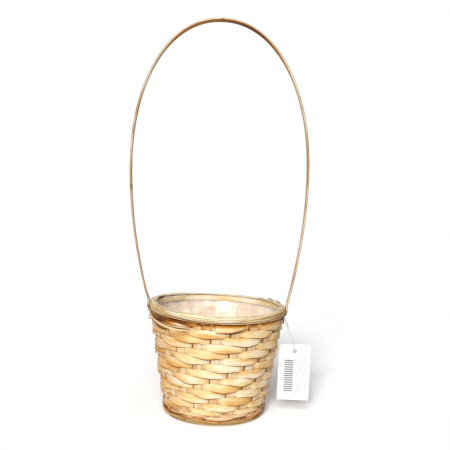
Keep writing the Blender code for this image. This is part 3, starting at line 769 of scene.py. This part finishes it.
def weaver_painted_shade(number, seed):
    """How much painted shade browns a strip: all over, along its lower edge and along its upper one."""
    angle = stake_angle(number)
    over = weave_state(number)
    scale = width_at(number) / WEAVER_WIDTH
    # Painted shade browns a strip where it is behind the stakes, and the top row under the rim, most of all
    # at the left front, up to its cut end
    at_left = smooth(2.2 * math.cos(angle - LEFT_FRONT) - 1)
    top_row = smooth((number - LAST + STAKE_COUNT) / 3) * (0.08 + 0.92 * at_left) * (1 - cut_end(number))
    tone = TUCKED_SHADE * (1 - over) + TOP_ROW_SHADE * top_row * (1 + sway(seed + 0.9, number * 0.7, 0.8))
    # Painted shade also browns a strip in the narrow slit where it comes out from behind a stake, towards
    # each leaf's ends, and on the basket's two sides
    slit = abs(number % TWILL_REPEAT - SLIT_PLACE) < 0.5 / STEPS_PER_STAKE
    side_shade = SIDE_SHADE * smooth(1.5 * abs(math.cos(angle)) - 0.45) * (1.0 if math.cos(angle) < 0 else 0.5)
    tone += SLIT_SHADE * slit * scale + LEAF_END_SHADE * (1 - arch(number)) * over + side_shade * over
    # Painted shade darkens the lower edge of each leaf, and an upper edge where the next row's leaf hangs
    # over it
    hanging = LEAF_EDGE_SHADE * min(1.0, arch(number) * 2.5) * scale
    above = number + STAKE_COUNT
    covered = LEAF_EDGE_SHADE * arch(above) ** 0.5 * scale * 0.7 if above < LAST else 0.3
    return min(1.0, tone), hanging, covered


def weaver_station(number, seed):
    return Station(*weaver_place(number, seed), *weaver_painted_shade(number, seed))


def add_weavers():
    for index in range(THIN_STRIPS):
        first = FIRST + index * STRIP_STAKES
        weaver_piece(f"foot_weaver_{index + 1}", first, first + STRIP_STAKES, GOLDEN, "golden_bamboo")
    for index in range(WIDE_STRIPS):
        first = index * STRIP_STAKES
        last = LAST if index == WIDE_STRIPS - 1 else first + STRIP_STAKES
        weaver_piece(f"weaver_{index + 1:02d}", first, last, CREAM, "cream_bamboo")
    start = LAST
    for index, repeats in enumerate(PACKING_REPEATS):
        first = math.ceil((start + 1) / TWILL_REPEAT) * TWILL_REPEAT
        last = first + repeats * TWILL_REPEAT
        weaver_piece(f"packing_strip_{index + 1}", first, last, CREAM, "cream_bamboo")
        start = first + STAKE_COUNT - 1


def weaver_piece(node_name, first, last, finish, slot):
    seed = first / STRIP_STAKES + 3
    start = first + BUTT_SHARE
    end = last - BUTT_SHARE
    if first >= LAST:
        start = first - (PACKING_STARTS[0] if first < LAST + TWILL_REPEAT else PACKING_STARTS[1])
    if is_over(last):
        end = last + CUT_END_PAST_MIDDLE / (STAKE_STEP * TOP_RADIUS)
    count = round((end - start) * STEPS_PER_STAKE)
    numbers = [start + (end - start) * step / count for step in range(count + 1)]
    stations = [weaver_station(number, seed) for number in numbers]
    strip(f"woven_{node_name}", stations, finish, seed=seed, replaces=(node_name,), slot=slot)


# Ribs


def crossing_places(count):
    middle = (count - 1) / 2
    return [CORNER_START * math.sin((index - middle) * STAKE_STEP) for index in range(count)]


def stake_stations(angle, side, seed):
    stations = []
    for step in range(CORNER_STEPS + 1):
        turn = (math.pi / 2 - WALL_LEAN) * step / CORNER_STEPS
        radius = CORNER_START + CORNER_RADIUS * math.sin(turn)
        height = BASE_LEVEL + CORNER_RADIUS * (1 - math.cos(turn))
        inward = Vector((0, 0, math.cos(turn))) - outward(angle) * math.sin(turn)
        centre = outward(angle) * radius + Vector((0, 0, height))
        across = along(angle) * (side * STAKE_WIDTH / 2)
        stations.append(Station(centre, across, inward * STAKE_THICKNESS / 2))
    for step in range(1, WALL_STEPS + 1):
        height = WALL_START + (STAKE_TOP - WALL_START) * step / WALL_STEPS
        half = STAKE_WIDTH / 2 * (1 + sway(seed, height / (30 * MM), STAKE_WIDTH_SWAY))
        centre = on_wall(angle, sway(seed + 0.4, height / (45 * MM), STAKE_SIDE_SWAY), height, 0)
        stations.append(Station(centre, along(angle) * side * half, wall_out(angle) * -STAKE_THICKNESS / 2))
    return stations


def base_stations(run, side_axis, place, crossings, first_up):
    stations = []
    layer = (STAKE_LAYER + WEAVE_CLEARANCE) / 2
    reach = STAKE_WIDTH / 2 + CROSSING_MARGIN
    for index, crossing in enumerate(crossings):
        up = (index % 2 == 0) == first_up
        level = BASE_LEVEL + (layer if up else -layer)
        for side in (-1, 1):
            centre = run * (crossing + side * reach) - side_axis * place + Vector((0, 0, level))
            stations.append(Station(centre, side_axis * STAKE_WIDTH / 2, Vector((0, 0, STAKE_THICKNESS / 2))))
    return stations


def rib(node_name, run, start_angle, end_angle, place, crossings, first_up, seed):
    side_axis = Vector((run.y, -run.x, 0))
    stations = list(reversed(stake_stations(start_angle, 1, seed)))
    stations += base_stations(run, side_axis, place, crossings, first_up)
    stations += stake_stations(end_angle, -1, seed + 0.7)
    name = f"split_{node_name}"
    strip(name, stations, GOLDEN, seed=seed, replaces=(node_name,), slot="golden_bamboo")


def add_ribs():
    lengthwise = crossing_places(LENGTHWISE_RIBS)
    crosswise = crossing_places(CROSSWISE_RIBS)
    for index, place in enumerate(lengthwise):
        turn = (index - (LENGTHWISE_RIBS - 1) / 2) * STAKE_STEP
        run = Vector((0, 1, 0))
        name = f"rib_lengthwise_{index + 1}"
        rib(name, run, FRONT + turn, BACK - turn, -place, crosswise, index % 2 == 0, 31 + index)
    for index, place in enumerate(crosswise):
        turn = (index - (CROSSWISE_RIBS - 1) / 2) * STAKE_STEP
        run = Vector((1, 0, 0))
        name = f"rib_crosswise_{index + 1}"
        rib(name, run, LEFT - turn, RIGHT + turn, place, lengthwise, index % 2 == 1, 41 + index)


# Rim, foot and hoop


def gathered(angle):
    """1 at the front left, where the strands crowd together under a broad cap, and 0 at the back."""
    away = math.remainder(angle - GATHER_ANGLE, 2 * math.pi)
    return smooth(1.3 - abs(away) / GATHER_REACH)


class Strand(NamedTuple):
    """A strand that goes once round the rim or the foot, and a little further.

    shift_at(angle) gives its move out, its move up and its swelling there, and waver how unevenly it lies.
    """

    node_name: str
    radius: float
    level: float
    half_depth: float
    half_height: float
    start: float
    lap: float
    seed: float
    shift_at: Callable
    waver: float
    finish: bpy.types.Material


def laid_strand(name, strand):
    """Lays a strand round; where its ends meet, each is shaved to share the room."""
    turn = 2 * math.pi + strand.lap
    stations = []
    for step in range(RING_STEPS + 1):
        gone = turn * step / RING_STEPS
        angle = strand.start + gone
        full = min(gone, turn - gone) / strand.lap
        thick = max(SHAVED_END, min(1.0, full))
        side = -1 if gone < turn / 2 else 1
        out, rise, swell = strand.shift_at(angle)
        radius = strand.radius + out + side * (1 - thick) * strand.half_depth
        radius += sway(strand.seed + 0.6, angle * 1.9, STRAND_OUT_SWAY) * strand.waver
        wander = sway(5.5, math.cos(angle) * 1.3, RIM_SWAY) + sway(6.5, math.sin(angle) * 1.1, RIM_SWAY)
        wander += sway(strand.seed, angle * 2.2, STRAND_SWAY)
        height = strand.level + lift(angle, strand.level) + rise + wander * strand.waver
        swell *= 1 + sway(strand.seed + 0.3, angle * 1.7, 0.16)
        centre = outward(angle) * radius + Vector((0, 0, height))
        tone = 0.9 * (1 - smooth(full * 3)) + 0.4 * smooth(sway(strand.seed + 0.8, angle * 1.4, 1.4) - 0.5)
        up = Vector((0, 0, strand.half_height * swell * (0.6 + 0.4 * thick)))
        stations.append(Station(centre, up, outward(angle) * strand.half_depth * thick, min(1.0, tone)))
    settings = {"seed": strand.seed, "replaces": (strand.node_name,), "slot": "green_bamboo"}
    strip(name, stations, strand.finish, section=SECTION_ROUND, **settings)


def laid_pair(strand):
    """A strand is split in two plies, which lie one over the other and cross a little."""
    for index, side in enumerate((-1, 1)):

        def shift(angle, side=side):
            out, rise, swell = strand.shift_at(angle)
            drift = math.sin(angle * 1.5 + strand.seed) * PLY_DRIFT
            return out + side * drift, rise + side * strand.half_height * 0.54 * swell, swell * 0.5

        start = strand.start + index * PLY_STAGGER
        ply = strand._replace(start=start, seed=strand.seed + index * 2.3, shift_at=shift)
        laid_strand(f"laid_{strand.node_name}_{index + 1}", ply)


def add_rim_strands():
    # Where each starts in degrees, and how far it sinks and narrows where the strands gather
    strands = (
        ("lower", 15, 0.35 * MM, 0.3),
        ("middle", 142, 0.8 * MM, 0.3),
        ("upper", 338, 1.0 * MM, 0.25),
    )
    for index, (label, start, sink, narrowing) in enumerate(strands):

        def shift(angle, sink=sink, narrowing=narrowing):
            share = gathered(angle)
            return 0.0, -sink * share, 1 - narrowing * share

        strand = Strand(
            node_name=f"rim_strand_{label}",
            radius=RIM_INSIDE + RIM_STRAND_DEPTH / 2,
            level=RIM_BOTTOM + index * (RIM_STRAND_HEIGHT + RIM_STRAND_GAP) + RIM_STRAND_HEIGHT / 2,
            half_depth=RIM_STRAND_DEPTH / 2,
            half_height=RIM_STRAND_HEIGHT / 2,
            start=math.radians(start),
            lap=RIM_LAP,
            seed=51 + index,
            shift_at=shift,
            waver=1.0,
            finish=RIM,
        )
        laid_pair(strand)


def add_rim_caps():
    """Two broad strands side by side over the stakes' ends; the outer one spreads where the others gather."""
    hoop_inside = wall_radius(STAKE_TOP) - LINER_DEPTH - HOOP_THICKNESS - HOOP_FILM_GAP
    middle = (hoop_inside + RIM_INSIDE) / 2
    caps = (
        ("inner", hoop_inside, middle - RIM_STRAND_GAP, 150, 0.0),
        ("outer", middle, RIM_INSIDE - RIM_STRAND_GAP, 338, 1.0),
    )
    for index, (label, near, far, start, spread) in enumerate(caps):

        def shift(angle, spread=spread):
            share = gathered(angle) * spread
            return CAP_SPREAD * share, -CAP_SAG * share, 1 + CAP_SWELL * share

        cap = Strand(
            node_name=f"rim_cap_{label}",
            radius=(near + far) / 2,
            level=STAKE_TOP + RIM_STRAND_GAP + CAP_HEIGHT / 2,
            half_depth=(far - near) / 2 + RIM_STRAND_GAP,
            half_height=CAP_HEIGHT / 2,
            start=math.radians(start),
            lap=CAP_LAP,
            seed=61 + index,
            shift_at=shift,
            waver=0.7,
            finish=GREEN,
        )
        laid_strand(f"laid_rim_cap_{label}", cap)


def add_hoop():
    """A flat strip whose ends lap inside the film's edge."""
    turn = 2 * math.pi + HOOP_LAP
    level = STAKE_TOP - HOOP_HEIGHT / 2
    inside = wall_radius(level) - LINER_DEPTH - HOOP_FILM_GAP - HOOP_THICKNESS / 2
    stations = []
    for step in range(RING_STEPS + 1):
        gone = turn * step / RING_STEPS
        angle = HOOP_START + gone
        lapped = smooth((gone - 2 * math.pi) / HOOP_JOG + 0.5)
        cut = smooth(1 - (turn - gone) / HOOP_BROWN_END)
        centre = outward(angle) * (inside - lapped * HOOP_THICKNESS)
        centre.z = level + lift(angle, level)
        up = wall_up(angle) * HOOP_HEIGHT / 2
        stations.append(Station(centre, up, wall_out(angle) * HOOP_THICKNESS / 2, 0.3 * cut))
    strip("flat_inner_hoop", stations, PALE, seed=71, replaces=("inner_hoop",), slot="cream_bamboo")


def add_foot():
    for index, label in enumerate(("lower", "upper")):
        half_depth = FOOT_STRAND_DEPTHS[index] / 2
        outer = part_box(f"foot_strand_{label}")[1][0]
        strand = Strand(
            node_name=f"foot_strand_{label}",
            radius=outer - half_depth,
            level=index * (FOOT_STRAND_HEIGHT + SEAT_GAP) + FOOT_STRAND_HEIGHT / 2,
            half_depth=half_depth,
            half_height=FOOT_STRAND_HEIGHT / 2,
            start=FOOT_STARTS[index],
            lap=FOOT_LAP,
            seed=81 + index,
            shift_at=lambda angle: (0.0, FOOT_STRAND_LIFT, FOOT_STRAND_SWELL),
            waver=0.35 + 0.7 * index,
            finish=BROWN,
        )
        laid_pair(strand)


# Film liner


def puffed(angle, share):
    """How far the film stands off the weave at its larger puffs, which catch the lamp."""
    depth = 0.0
    for place, level, width, tall, rise in FILM_PUFFS:
        away = math.remainder(angle - math.radians(place), 2 * math.pi) / math.radians(width)
        depth += rise * MM * math.exp(-(away**2) - ((share - level) / tall) ** 2)
    return depth


def film_side(inset):
    """One face of the film's section, from the middle of its floor out and up to its edge."""
    low = FILM_FLOOR + inset
    turn_up = FILM_FLOOR + FILM_CORNER
    corner = wall_radius(turn_up) - LINER_DEPTH - FILM_CORNER
    reach = FILM_CORNER - inset
    points = [(0, low), (corner - 2 * FILM_CORNER, low)]
    for step in range(CORNER_STEPS):
        turn = math.pi / 2 * step / CORNER_STEPS
        points.append((corner + reach * math.sin(turn), turn_up - reach * math.cos(turn)))
    for step in range(FILM_ROWS + 1):
        rise = turn_up + (FILM_TOP - turn_up) * step / FILM_ROWS
        points.append((wall_radius(rise) - LINER_DEPTH - inset, rise))
    return points


def add_liner():
    bm = bmesh.new()
    outline = film_side(0) + film_side(FILM_THICKNESS)[::-1]
    points = [bm.verts.new((radius, 0, height)) for radius, height in outline]
    edges = [bm.edges.new(pair) for pair in zip(points, points[1:])]
    turn = {"axis": (0, 0, 1), "cent": (0, 0, 0), "angle": 2 * math.pi, "steps": SPIN_STEPS}
    bmesh.ops.spin(bm, geom=points + edges, use_merge=True, **turn)
    bmesh.ops.remove_doubles(bm, verts=bm.verts, dist=0.002 * MM)
    for vertex in bm.verts:
        angle = math.atan2(vertex.co.y, vertex.co.x)
        share = min(1, max(0, (vertex.co.z - FILM_FLOOR) / (FILM_TOP - FILM_FLOOR)))
        loose = math.sin(math.pi * min(1, share * 1.05))
        pleat = noise.noise(Vector((math.cos(angle) * 3.2, math.sin(angle) * 3.2, share * 1.6)))
        fold = noise.noise(Vector((math.cos(angle) * 9, math.sin(angle) * 9, share * 3.5 + 9)))
        inward = (max(0, pleat) * PLEAT_DEPTH + max(0, fold) * FOLD_DEPTH) * loose + puffed(angle, share)
        vertex.co -= outward(angle) * inward
        vertex.co.z += lift(angle, vertex.co.z)
    finished("wrinkled_film_liner", bm, FILM, replaces=("film_liner",), slot="clear_film", sharp=60)


# Handle and ties


def leg_stations(angle):
    """From the tongue's tip, tucked behind a weaver, up past the rim."""
    bottom, top = tuck_edges(angle)
    across = along(angle)
    levels = (
        (bottom + ROW_GAP, LEG_FACE, TONGUE_TIP_THICKNESS, TONGUE_TIP_WIDTH),
        (top + SEAT_GAP, LEG_FACE, TONGUE_TOP_THICKNESS, HANDLE_WIDTH),
    )
    stations = []
    for height, face, thickness, width in levels:
        centre = on_wall(angle, 0, height, face + thickness / 2)
        stations.append(Station(centre, across * width / 2, wall_out(angle) * thickness / 2))
    for height in (RIM_BOTTOM, RIM_TOP):
        centre = outward(angle) * LEG_LINE + Vector((0, 0, height + lift(angle, height)))
        stations.append(Station(centre, across * HANDLE_WIDTH / 2, outward(angle) * HANDLE_THICKNESS / 2))
    return stations


def bow_centre(share, side):
    """The bow's middle line: share 0 at the rim, 1 where it is widest and 2 at the crown."""
    if share <= 1:
        rise = HANDLE_WIDEST_RISE * share
        bulge = HANDLE_FOOT_SLOPE_SHARE * HANDLE_WIDEST_RISE * share * (1 - share) ** 2
        span = LEG_LINE + (HANDLE_HALF_SPAN - LEG_LINE) * smooth(share) + bulge
    else:
        turn = (share - 1) * math.pi / 2
        power = 2 / CROWN_EXPONENT
        span = HANDLE_HALF_SPAN * abs(math.cos(turn)) ** power
        rise = HANDLE_WIDEST_RISE + (HANDLE_RISE - HANDLE_WIDEST_RISE) * math.sin(turn) ** power
    lean = HANDLE_LEAN * (rise / HANDLE_RISE) ** LEAN_EXPONENT
    return Vector((side * span - lean, 0, RIM_TOP + rise))


def bow_points(side):
    shares = [step / LEG_STEPS for step in range(BOW_FIRST_STEP, LEG_STEPS)]
    shares += [1 + step / CROWN_STEPS for step in range(CROWN_STEPS)]
    return [bow_centre(share, side) for share in shares]


def node_mark(point):
    """How dark the cane is near one of its joints."""
    nearest = min((point - Vector(place) * MM).length for place in HANDLE_JOINTS)
    return JOINT_STAIN * (1 - smooth(nearest / JOINT_REACH))


def bow_stations():
    """Over the bow from right to left; it turns on its side a little at the crown."""
    points = bow_points(1) + [bow_centre(2, 1)] + bow_points(-1)[::-1]
    stations = []
    for index, point in enumerate(points):
        before = points[max(0, index - 1)]
        after = points[min(len(points) - 1, index + 1)]
        run = (after - before).normalized()
        out = Vector((run.z, 0, -run.x))
        swell = 1 + sway(91, index * 0.11, 0.05)
        crown = smooth(1.5 * abs(run.x) - 0.4)
        twist = Matrix.Rotation(-CROWN_TWIST * crown, 3, run if run.x > 0 else -run)
        half = twist @ Vector((0, HANDLE_WIDTH / 2 * swell, 0))
        low_left = smooth((LEFT_LEG_TOP - point.z) / LEFT_LEG_FADE) if point.x < 0 else 0.0
        thick = HANDLE_THICKNESS / 2 * (1 + sway(92, index * 0.09, 0.06)) * (1 - LEFT_LEG_THINNING * low_left)
        # The inner face gets painted shade, most where the bow runs level at the crown
        inner = INNER_SHADE * (0.12 + 0.88 * crown) * (0.6 + 0.4 * smooth(0.5 + point.x / INNER_SHADE_FADE))
        tone = max(node_mark(point), LEFT_LEG_STAIN * low_left)
        stations.append(Station(point, half, twist @ out * thick, tone, inner=inner))
    return stations


def add_handle():
    bow = bow_stations()
    right = through(leg_stations(RIGHT) + bow[:1], BEND_STEPS)
    left = [leg._replace(side=-leg.side) for leg in reversed(leg_stations(LEFT))]
    left = through(bow[-1:] + left, BEND_STEPS)
    stations = right[:-1] + bow + left[1:]
    strip("bent_bow_handle", stations, TAN, seed=9, replaces=("bow_handle",), slot="tan_bamboo")


def leg_outside(angle, height):
    """How far a leg's outer face stands off the wall between its tongue and the rim."""
    bend = tuck_edges(angle)[1] + SEAT_GAP
    share = (height - bend) / (RIM_BOTTOM - bend)
    low = LEG_FACE + TONGUE_TOP_THICKNESS
    high = RIM_OUTSIDE + SEAT_GAP + HANDLE_THICKNESS - wall_radius(RIM_BOTTOM)
    return low + (high - low) * share


def add_tie(label, angle):
    """A splint bound round a leg, just above its tongue."""
    height = tuck_edges(angle)[1] + SEAT_GAP + TIE_HEIGHT / 2
    side = HANDLE_WIDTH / 2 + SEAT_GAP + TIE_THICKNESS / 2
    near = SEAT_GAP + TIE_THICKNESS / 2
    far = leg_outside(angle, height + TIE_HEIGHT / 2) + SEAT_GAP + TIE_THICKNESS / 2
    out = outward(angle)
    across = along(angle)
    corner = TIE_THICKNESS
    route = (
        (side, near, across),
        (side, far - corner, (out + across * 2).normalized()),
        (side - corner, far, (out * 2 + across).normalized()),
        (corner - side, far, (out * 2 - across).normalized()),
        (-side, far - corner, (out - across * 2).normalized()),
        (-side, near, -across),
    )
    stations = []
    for place, offset, facing in route:
        centre = on_wall(angle, place, height, offset)
        stations.append(Station(centre, Vector((0, 0, TIE_HEIGHT / 2)), facing * TIE_THICKNESS / 2))
    settings = {"seed": 13, "replaces": (f"handle_tie_{label}",), "slot": "green_bamboo"}
    name = f"bound_handle_tie_{label}"
    strip(name, through(stations, TIE_STEPS), GREEN, section=SECTION_ROUND, **settings)


# Loose slivers


# Each one's name, its finish, its width and thickness in millimetres, and the places that it passes: the
# angle in degrees, the height and the distance out from the wall in millimetres
SLIVERS = (
    ("left_long", "pale", 2.4, 0.5,
     ((-168, 91, 2.2), (-154, 89.6, 3.4), (-138, 87.8, 3.6), (-123, 87.2, 3.2), (-112, 88.2, 1.8))),
    ("left_frayed", "pale", 1.5, 0.4,
     ((-133, 86.6, 3.2), (-126, 85.2, 3.8), (-119, 84.9, 3.9), (-112, 85.8, 2.6))),
    ("left_thin", "pale", 0.9, 0.4,
     ((-140, 90.5, 3.0), (-130, 89.6, 3.4), (-118, 90.2, 3.4), (-108, 91.0, 2.4))),
    # Painted shade: these two dark strips lie along the shadow under the rim, at the left and front
    ("under_rim_shade", "dark", 1.7, 0.5,
     ((-176, 94.6, 1.2), (-150, 94.5, 2.0), (-124, 94.3, 2.3), (-96, 94.5, 1.6))),
    ("left_shade", "dark", 2.4, 0.5,
     ((-176, 91.6, 0.8), (-164, 91.2, 1.6), (-152, 91.0, 1.9), (-140, 91.6, 1.4))),
    ("left_lashing", "pale", 1.1, 0.6,
     ((-185, 90, 3.6), (-177, 87.2, 4.8), (-168, 87.0, 4.4), (-160, 89.0, 2.8))),
    ("front_filler", "pale", 6.0, 0.4,
     ((-118, 93.2, -1.0), (-106, 93.2, -0.9), (-94, 93.2, -0.9), (-82, 93.2, -1.0))),
    ("right_lashing", "pale", 1.1, 0.6,
     ((-31, 95.5, 2.2), (-28, 91.4, 3.3), (-23, 89.8, 3.7), (-18, 91.6, 3.4), (-15, 95.8, 2.6))),
    # Painted shade: a dark strip in the shaded gap between the right leg and the wall
    ("right_leg_gap_shade", "dark", 2.6, 0.9,
     ((-22, 97.0, 2.6), (-17, 93.6, 3.4), (-13, 90.0, 3.6), (-10, 88.4, 2.4))),
    # Painted shade: these two dark strips lie in the shaded gaps under the rim at the front
    ("front_gap_shade", "dark", 1.1, 0.4,
     ((-88, 88.6, 2.6), (-80, 88.6, 3.0), (-73, 89.9, 3.0), (-66, 92.4, 2.4))),
    ("front_left_gap_shade", "dark", 1.2, 0.4,
     ((-156, 90.6, 2.8), (-142, 89.4, 3.2), (-126, 88.9, 3.2), (-112, 90.0, 2.4))),
    ("right_back_tuft", "dark", 1.1, 0.7,
     ((10, 101.6, 1.4), (19, 102.4, 2.2), (27, 103.4, 2.8))),
    ("right_back_tuft_2", "dark", 1.0, 0.6,
     ((24, 101.8, 1.4), (32, 102.8, 2.0), (39, 103.6, 2.4))),
    ("left_back_curl", "dark", 1.1, 0.6,
     ((176, 101.8, -2.6), (166, 102.6, -3.6), (156, 102.4, -3.4), (148, 101.4, -2.4))),
    ("foot_left", "pale", 1.1, 0.5,
     ((-176, 7.6, 2.0), (-164, 5.6, 2.9), (-150, 3.6, 3.2), (-136, 3.2, 2.6))),
    ("foot_left_2", "dark", 1.0, 0.5,
     ((-160, 3.0, 2.6), (-146, 4.4, 3.0), (-130, 6.4, 2.4), (-118, 7.0, 1.4))),
    ("foot_front", "pale", 1.1, 0.5,
     ((-122, 6.6, 1.6), (-106, 5.0, 2.7), (-88, 4.0, 3.1), (-70, 4.6, 2.6), (-58, 6.6, 1.6))),
    ("foot_front_2", "dark", 0.9, 0.5,
     ((-98, 3.4, 2.8), (-82, 4.6, 3.1), (-66, 6.2, 2.6), (-52, 7.6, 1.6))),
    ("foot_right", "pale", 1.2, 0.5,
     ((-64, 4.0, 2.6), (-48, 5.2, 3.1), (-32, 7.4, 2.8), (-18, 10.0, 2.0))),
    ("foot_right_2", "dark", 1.0, 0.5,
     ((-44, 3.4, 2.8), (-30, 5.0, 3.1), (-16, 7.6, 2.6), (-4, 9.0, 1.6))),
    ("foot_back", "pale", 1.1, 0.5,
     ((40, 7.0, 1.6), (62, 4.6, 2.8), (84, 4.0, 3.1), (104, 5.6, 2.4), (120, 7.0, 1.4))),
)


def add_slivers():
    """Thin ends and shavings that stand a little away from the weave, as hand work leaves them, and dark
    strips of painted shade laid in shaded gaps.
    """
    finishes = {"pale": (CREAM, 0.1), "dark": (BROWN, 0.8)}
    for index, (name, kind, width, thickness, places) in enumerate(SLIVERS):
        finish, tone = finishes[kind]
        stations = []
        for step, (degrees, height, out) in enumerate(places):
            angle = math.radians(degrees)
            taper = SLIVER_TIP if step in (0, len(places) - 1) else 1.0
            centre = on_wall(angle, 0, height * MM, out * MM)
            side = wall_up(angle) * width * MM / 2 * taper
            stations.append(Station(centre, side, wall_out(angle) * thickness * MM / 2, tone))
        strip(f"sliver_{name}", through(stations, BEND_STEPS), finish, seed=101 + index, slot="green_bamboo")


# Tag


def dress_tag():
    """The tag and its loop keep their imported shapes."""
    for name, finish in (("swing_tag", CARD), ("tag_loop", NYLON)):
        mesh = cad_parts[name].data
        mesh.materials.clear()
        mesh.materials.append(finish)


# Studio


def background_rays(owner):
    """1 for rays that show the white background: those of the camera, mirrored ones and ones let through."""
    rays = node(owner, "LightPath").outputs
    seen = rays["Is Camera Ray"]
    for kind in ("Is Glossy Ray", "Is Transmission Ray"):
        seen = node(owner, "Math", {0: seen, 1: rays[kind]}, operation="MAXIMUM").outputs[0]
    return seen


def white_paper(name):
    """Matt white paper, which keeps the basket's soft shadow and is lifted to white for the camera."""
    material = new_material(name)
    paper = node(material, "BsdfDiffuse", {"Color": linear("EEEEEE")}).outputs["BSDF"]
    lift_white = {"Color": (FLOOR_LIFT, FLOOR_LIFT, FLOOR_LIFT, 1)}
    lifted = node(material, "BsdfDiffuse", lift_white).outputs["BSDF"]
    both = node(material, "AddShader", {0: paper, 1: lifted}).outputs["Shader"]
    seen = {"Fac": background_rays(material), 1: paper, 2: both}
    surface = node(material, "MixShader", seen).outputs["Shader"]
    node(material, "OutputMaterial", {"Surface": surface})
    return material


def add_floor():
    bm = bmesh.new()
    bmesh.ops.create_grid(bm, x_segments=1, y_segments=1, size=FLOOR_HALF)
    mesh = bpy.data.meshes.new("floor")
    bm.to_mesh(mesh)
    bm.free()
    mesh.materials.append(white_paper("Matt white paper floor"))
    floor = bpy.data.objects.new("floor", mesh)
    bpy.context.scene.collection.objects.link(floor)


def add_room():
    """Even white walls: dim as light, and plain white where they are seen."""
    world = bpy.data.worlds.new("White studio")
    bpy.context.scene.world = world
    world.use_nodes = True
    world.node_tree.nodes.clear()
    seen = {"Value": background_rays(world), "To Min": ROOM_LIGHT, "To Max": 1.0}
    strength = node(world, "MapRange", seen).outputs["Result"]
    walls = {"Color": linear(WHITE), "Strength": strength}
    shell = node(world, "Background", walls).outputs["Background"]
    node(world, "OutputWorld", {"Surface": shell})


def add_lamp(name, strength, softness, azimuth, elevation):
    """A far soft lamp; azimuth 0 stands in front, and grows to the right."""
    data = bpy.data.lights.new(name, "SUN")
    data.energy = strength
    data.angle = math.radians(softness)
    lamp = bpy.data.objects.new(name, data)
    facing = Matrix.Rotation(math.radians(azimuth), 4, "Z")
    lamp.matrix_world = facing @ Matrix.Rotation(math.radians(90 - elevation), 4, "X")
    bpy.context.scene.collection.objects.link(lamp)


def add_camera():
    data = bpy.data.cameras.new("camera")
    data.lens = LENS
    data.sensor_width = SENSOR
    data.shift_x = (PICTURE / 2 - PRINCIPAL_POINT[0]) / PICTURE
    data.shift_y = (PRINCIPAL_POINT[1] - PICTURE / 2) / PICTURE
    camera = bpy.data.objects.new("camera", data)
    tilt = Matrix.Rotation(math.pi / 2 + CAMERA_PITCH, 4, "X") @ Matrix.Rotation(CAMERA_ROLL, 4, "Z")
    camera.matrix_world = Matrix.Translation(CAMERA_PLACE) @ tilt
    bpy.context.scene.collection.objects.link(camera)
    bpy.context.scene.camera = camera


bpy.context.scene.view_settings.view_transform = "Standard"
add_ribs()
add_weavers()
add_rim_strands()
add_rim_caps()
add_hoop()
add_foot()
add_liner()
add_handle()
add_tie("right", RIGHT)
add_tie("left", LEFT)
add_slivers()
dress_tag()
add_floor()
add_room()
add_lamp("key", *KEY_LAMP)
add_lamp("top", *TOP_LAMP)
add_camera()
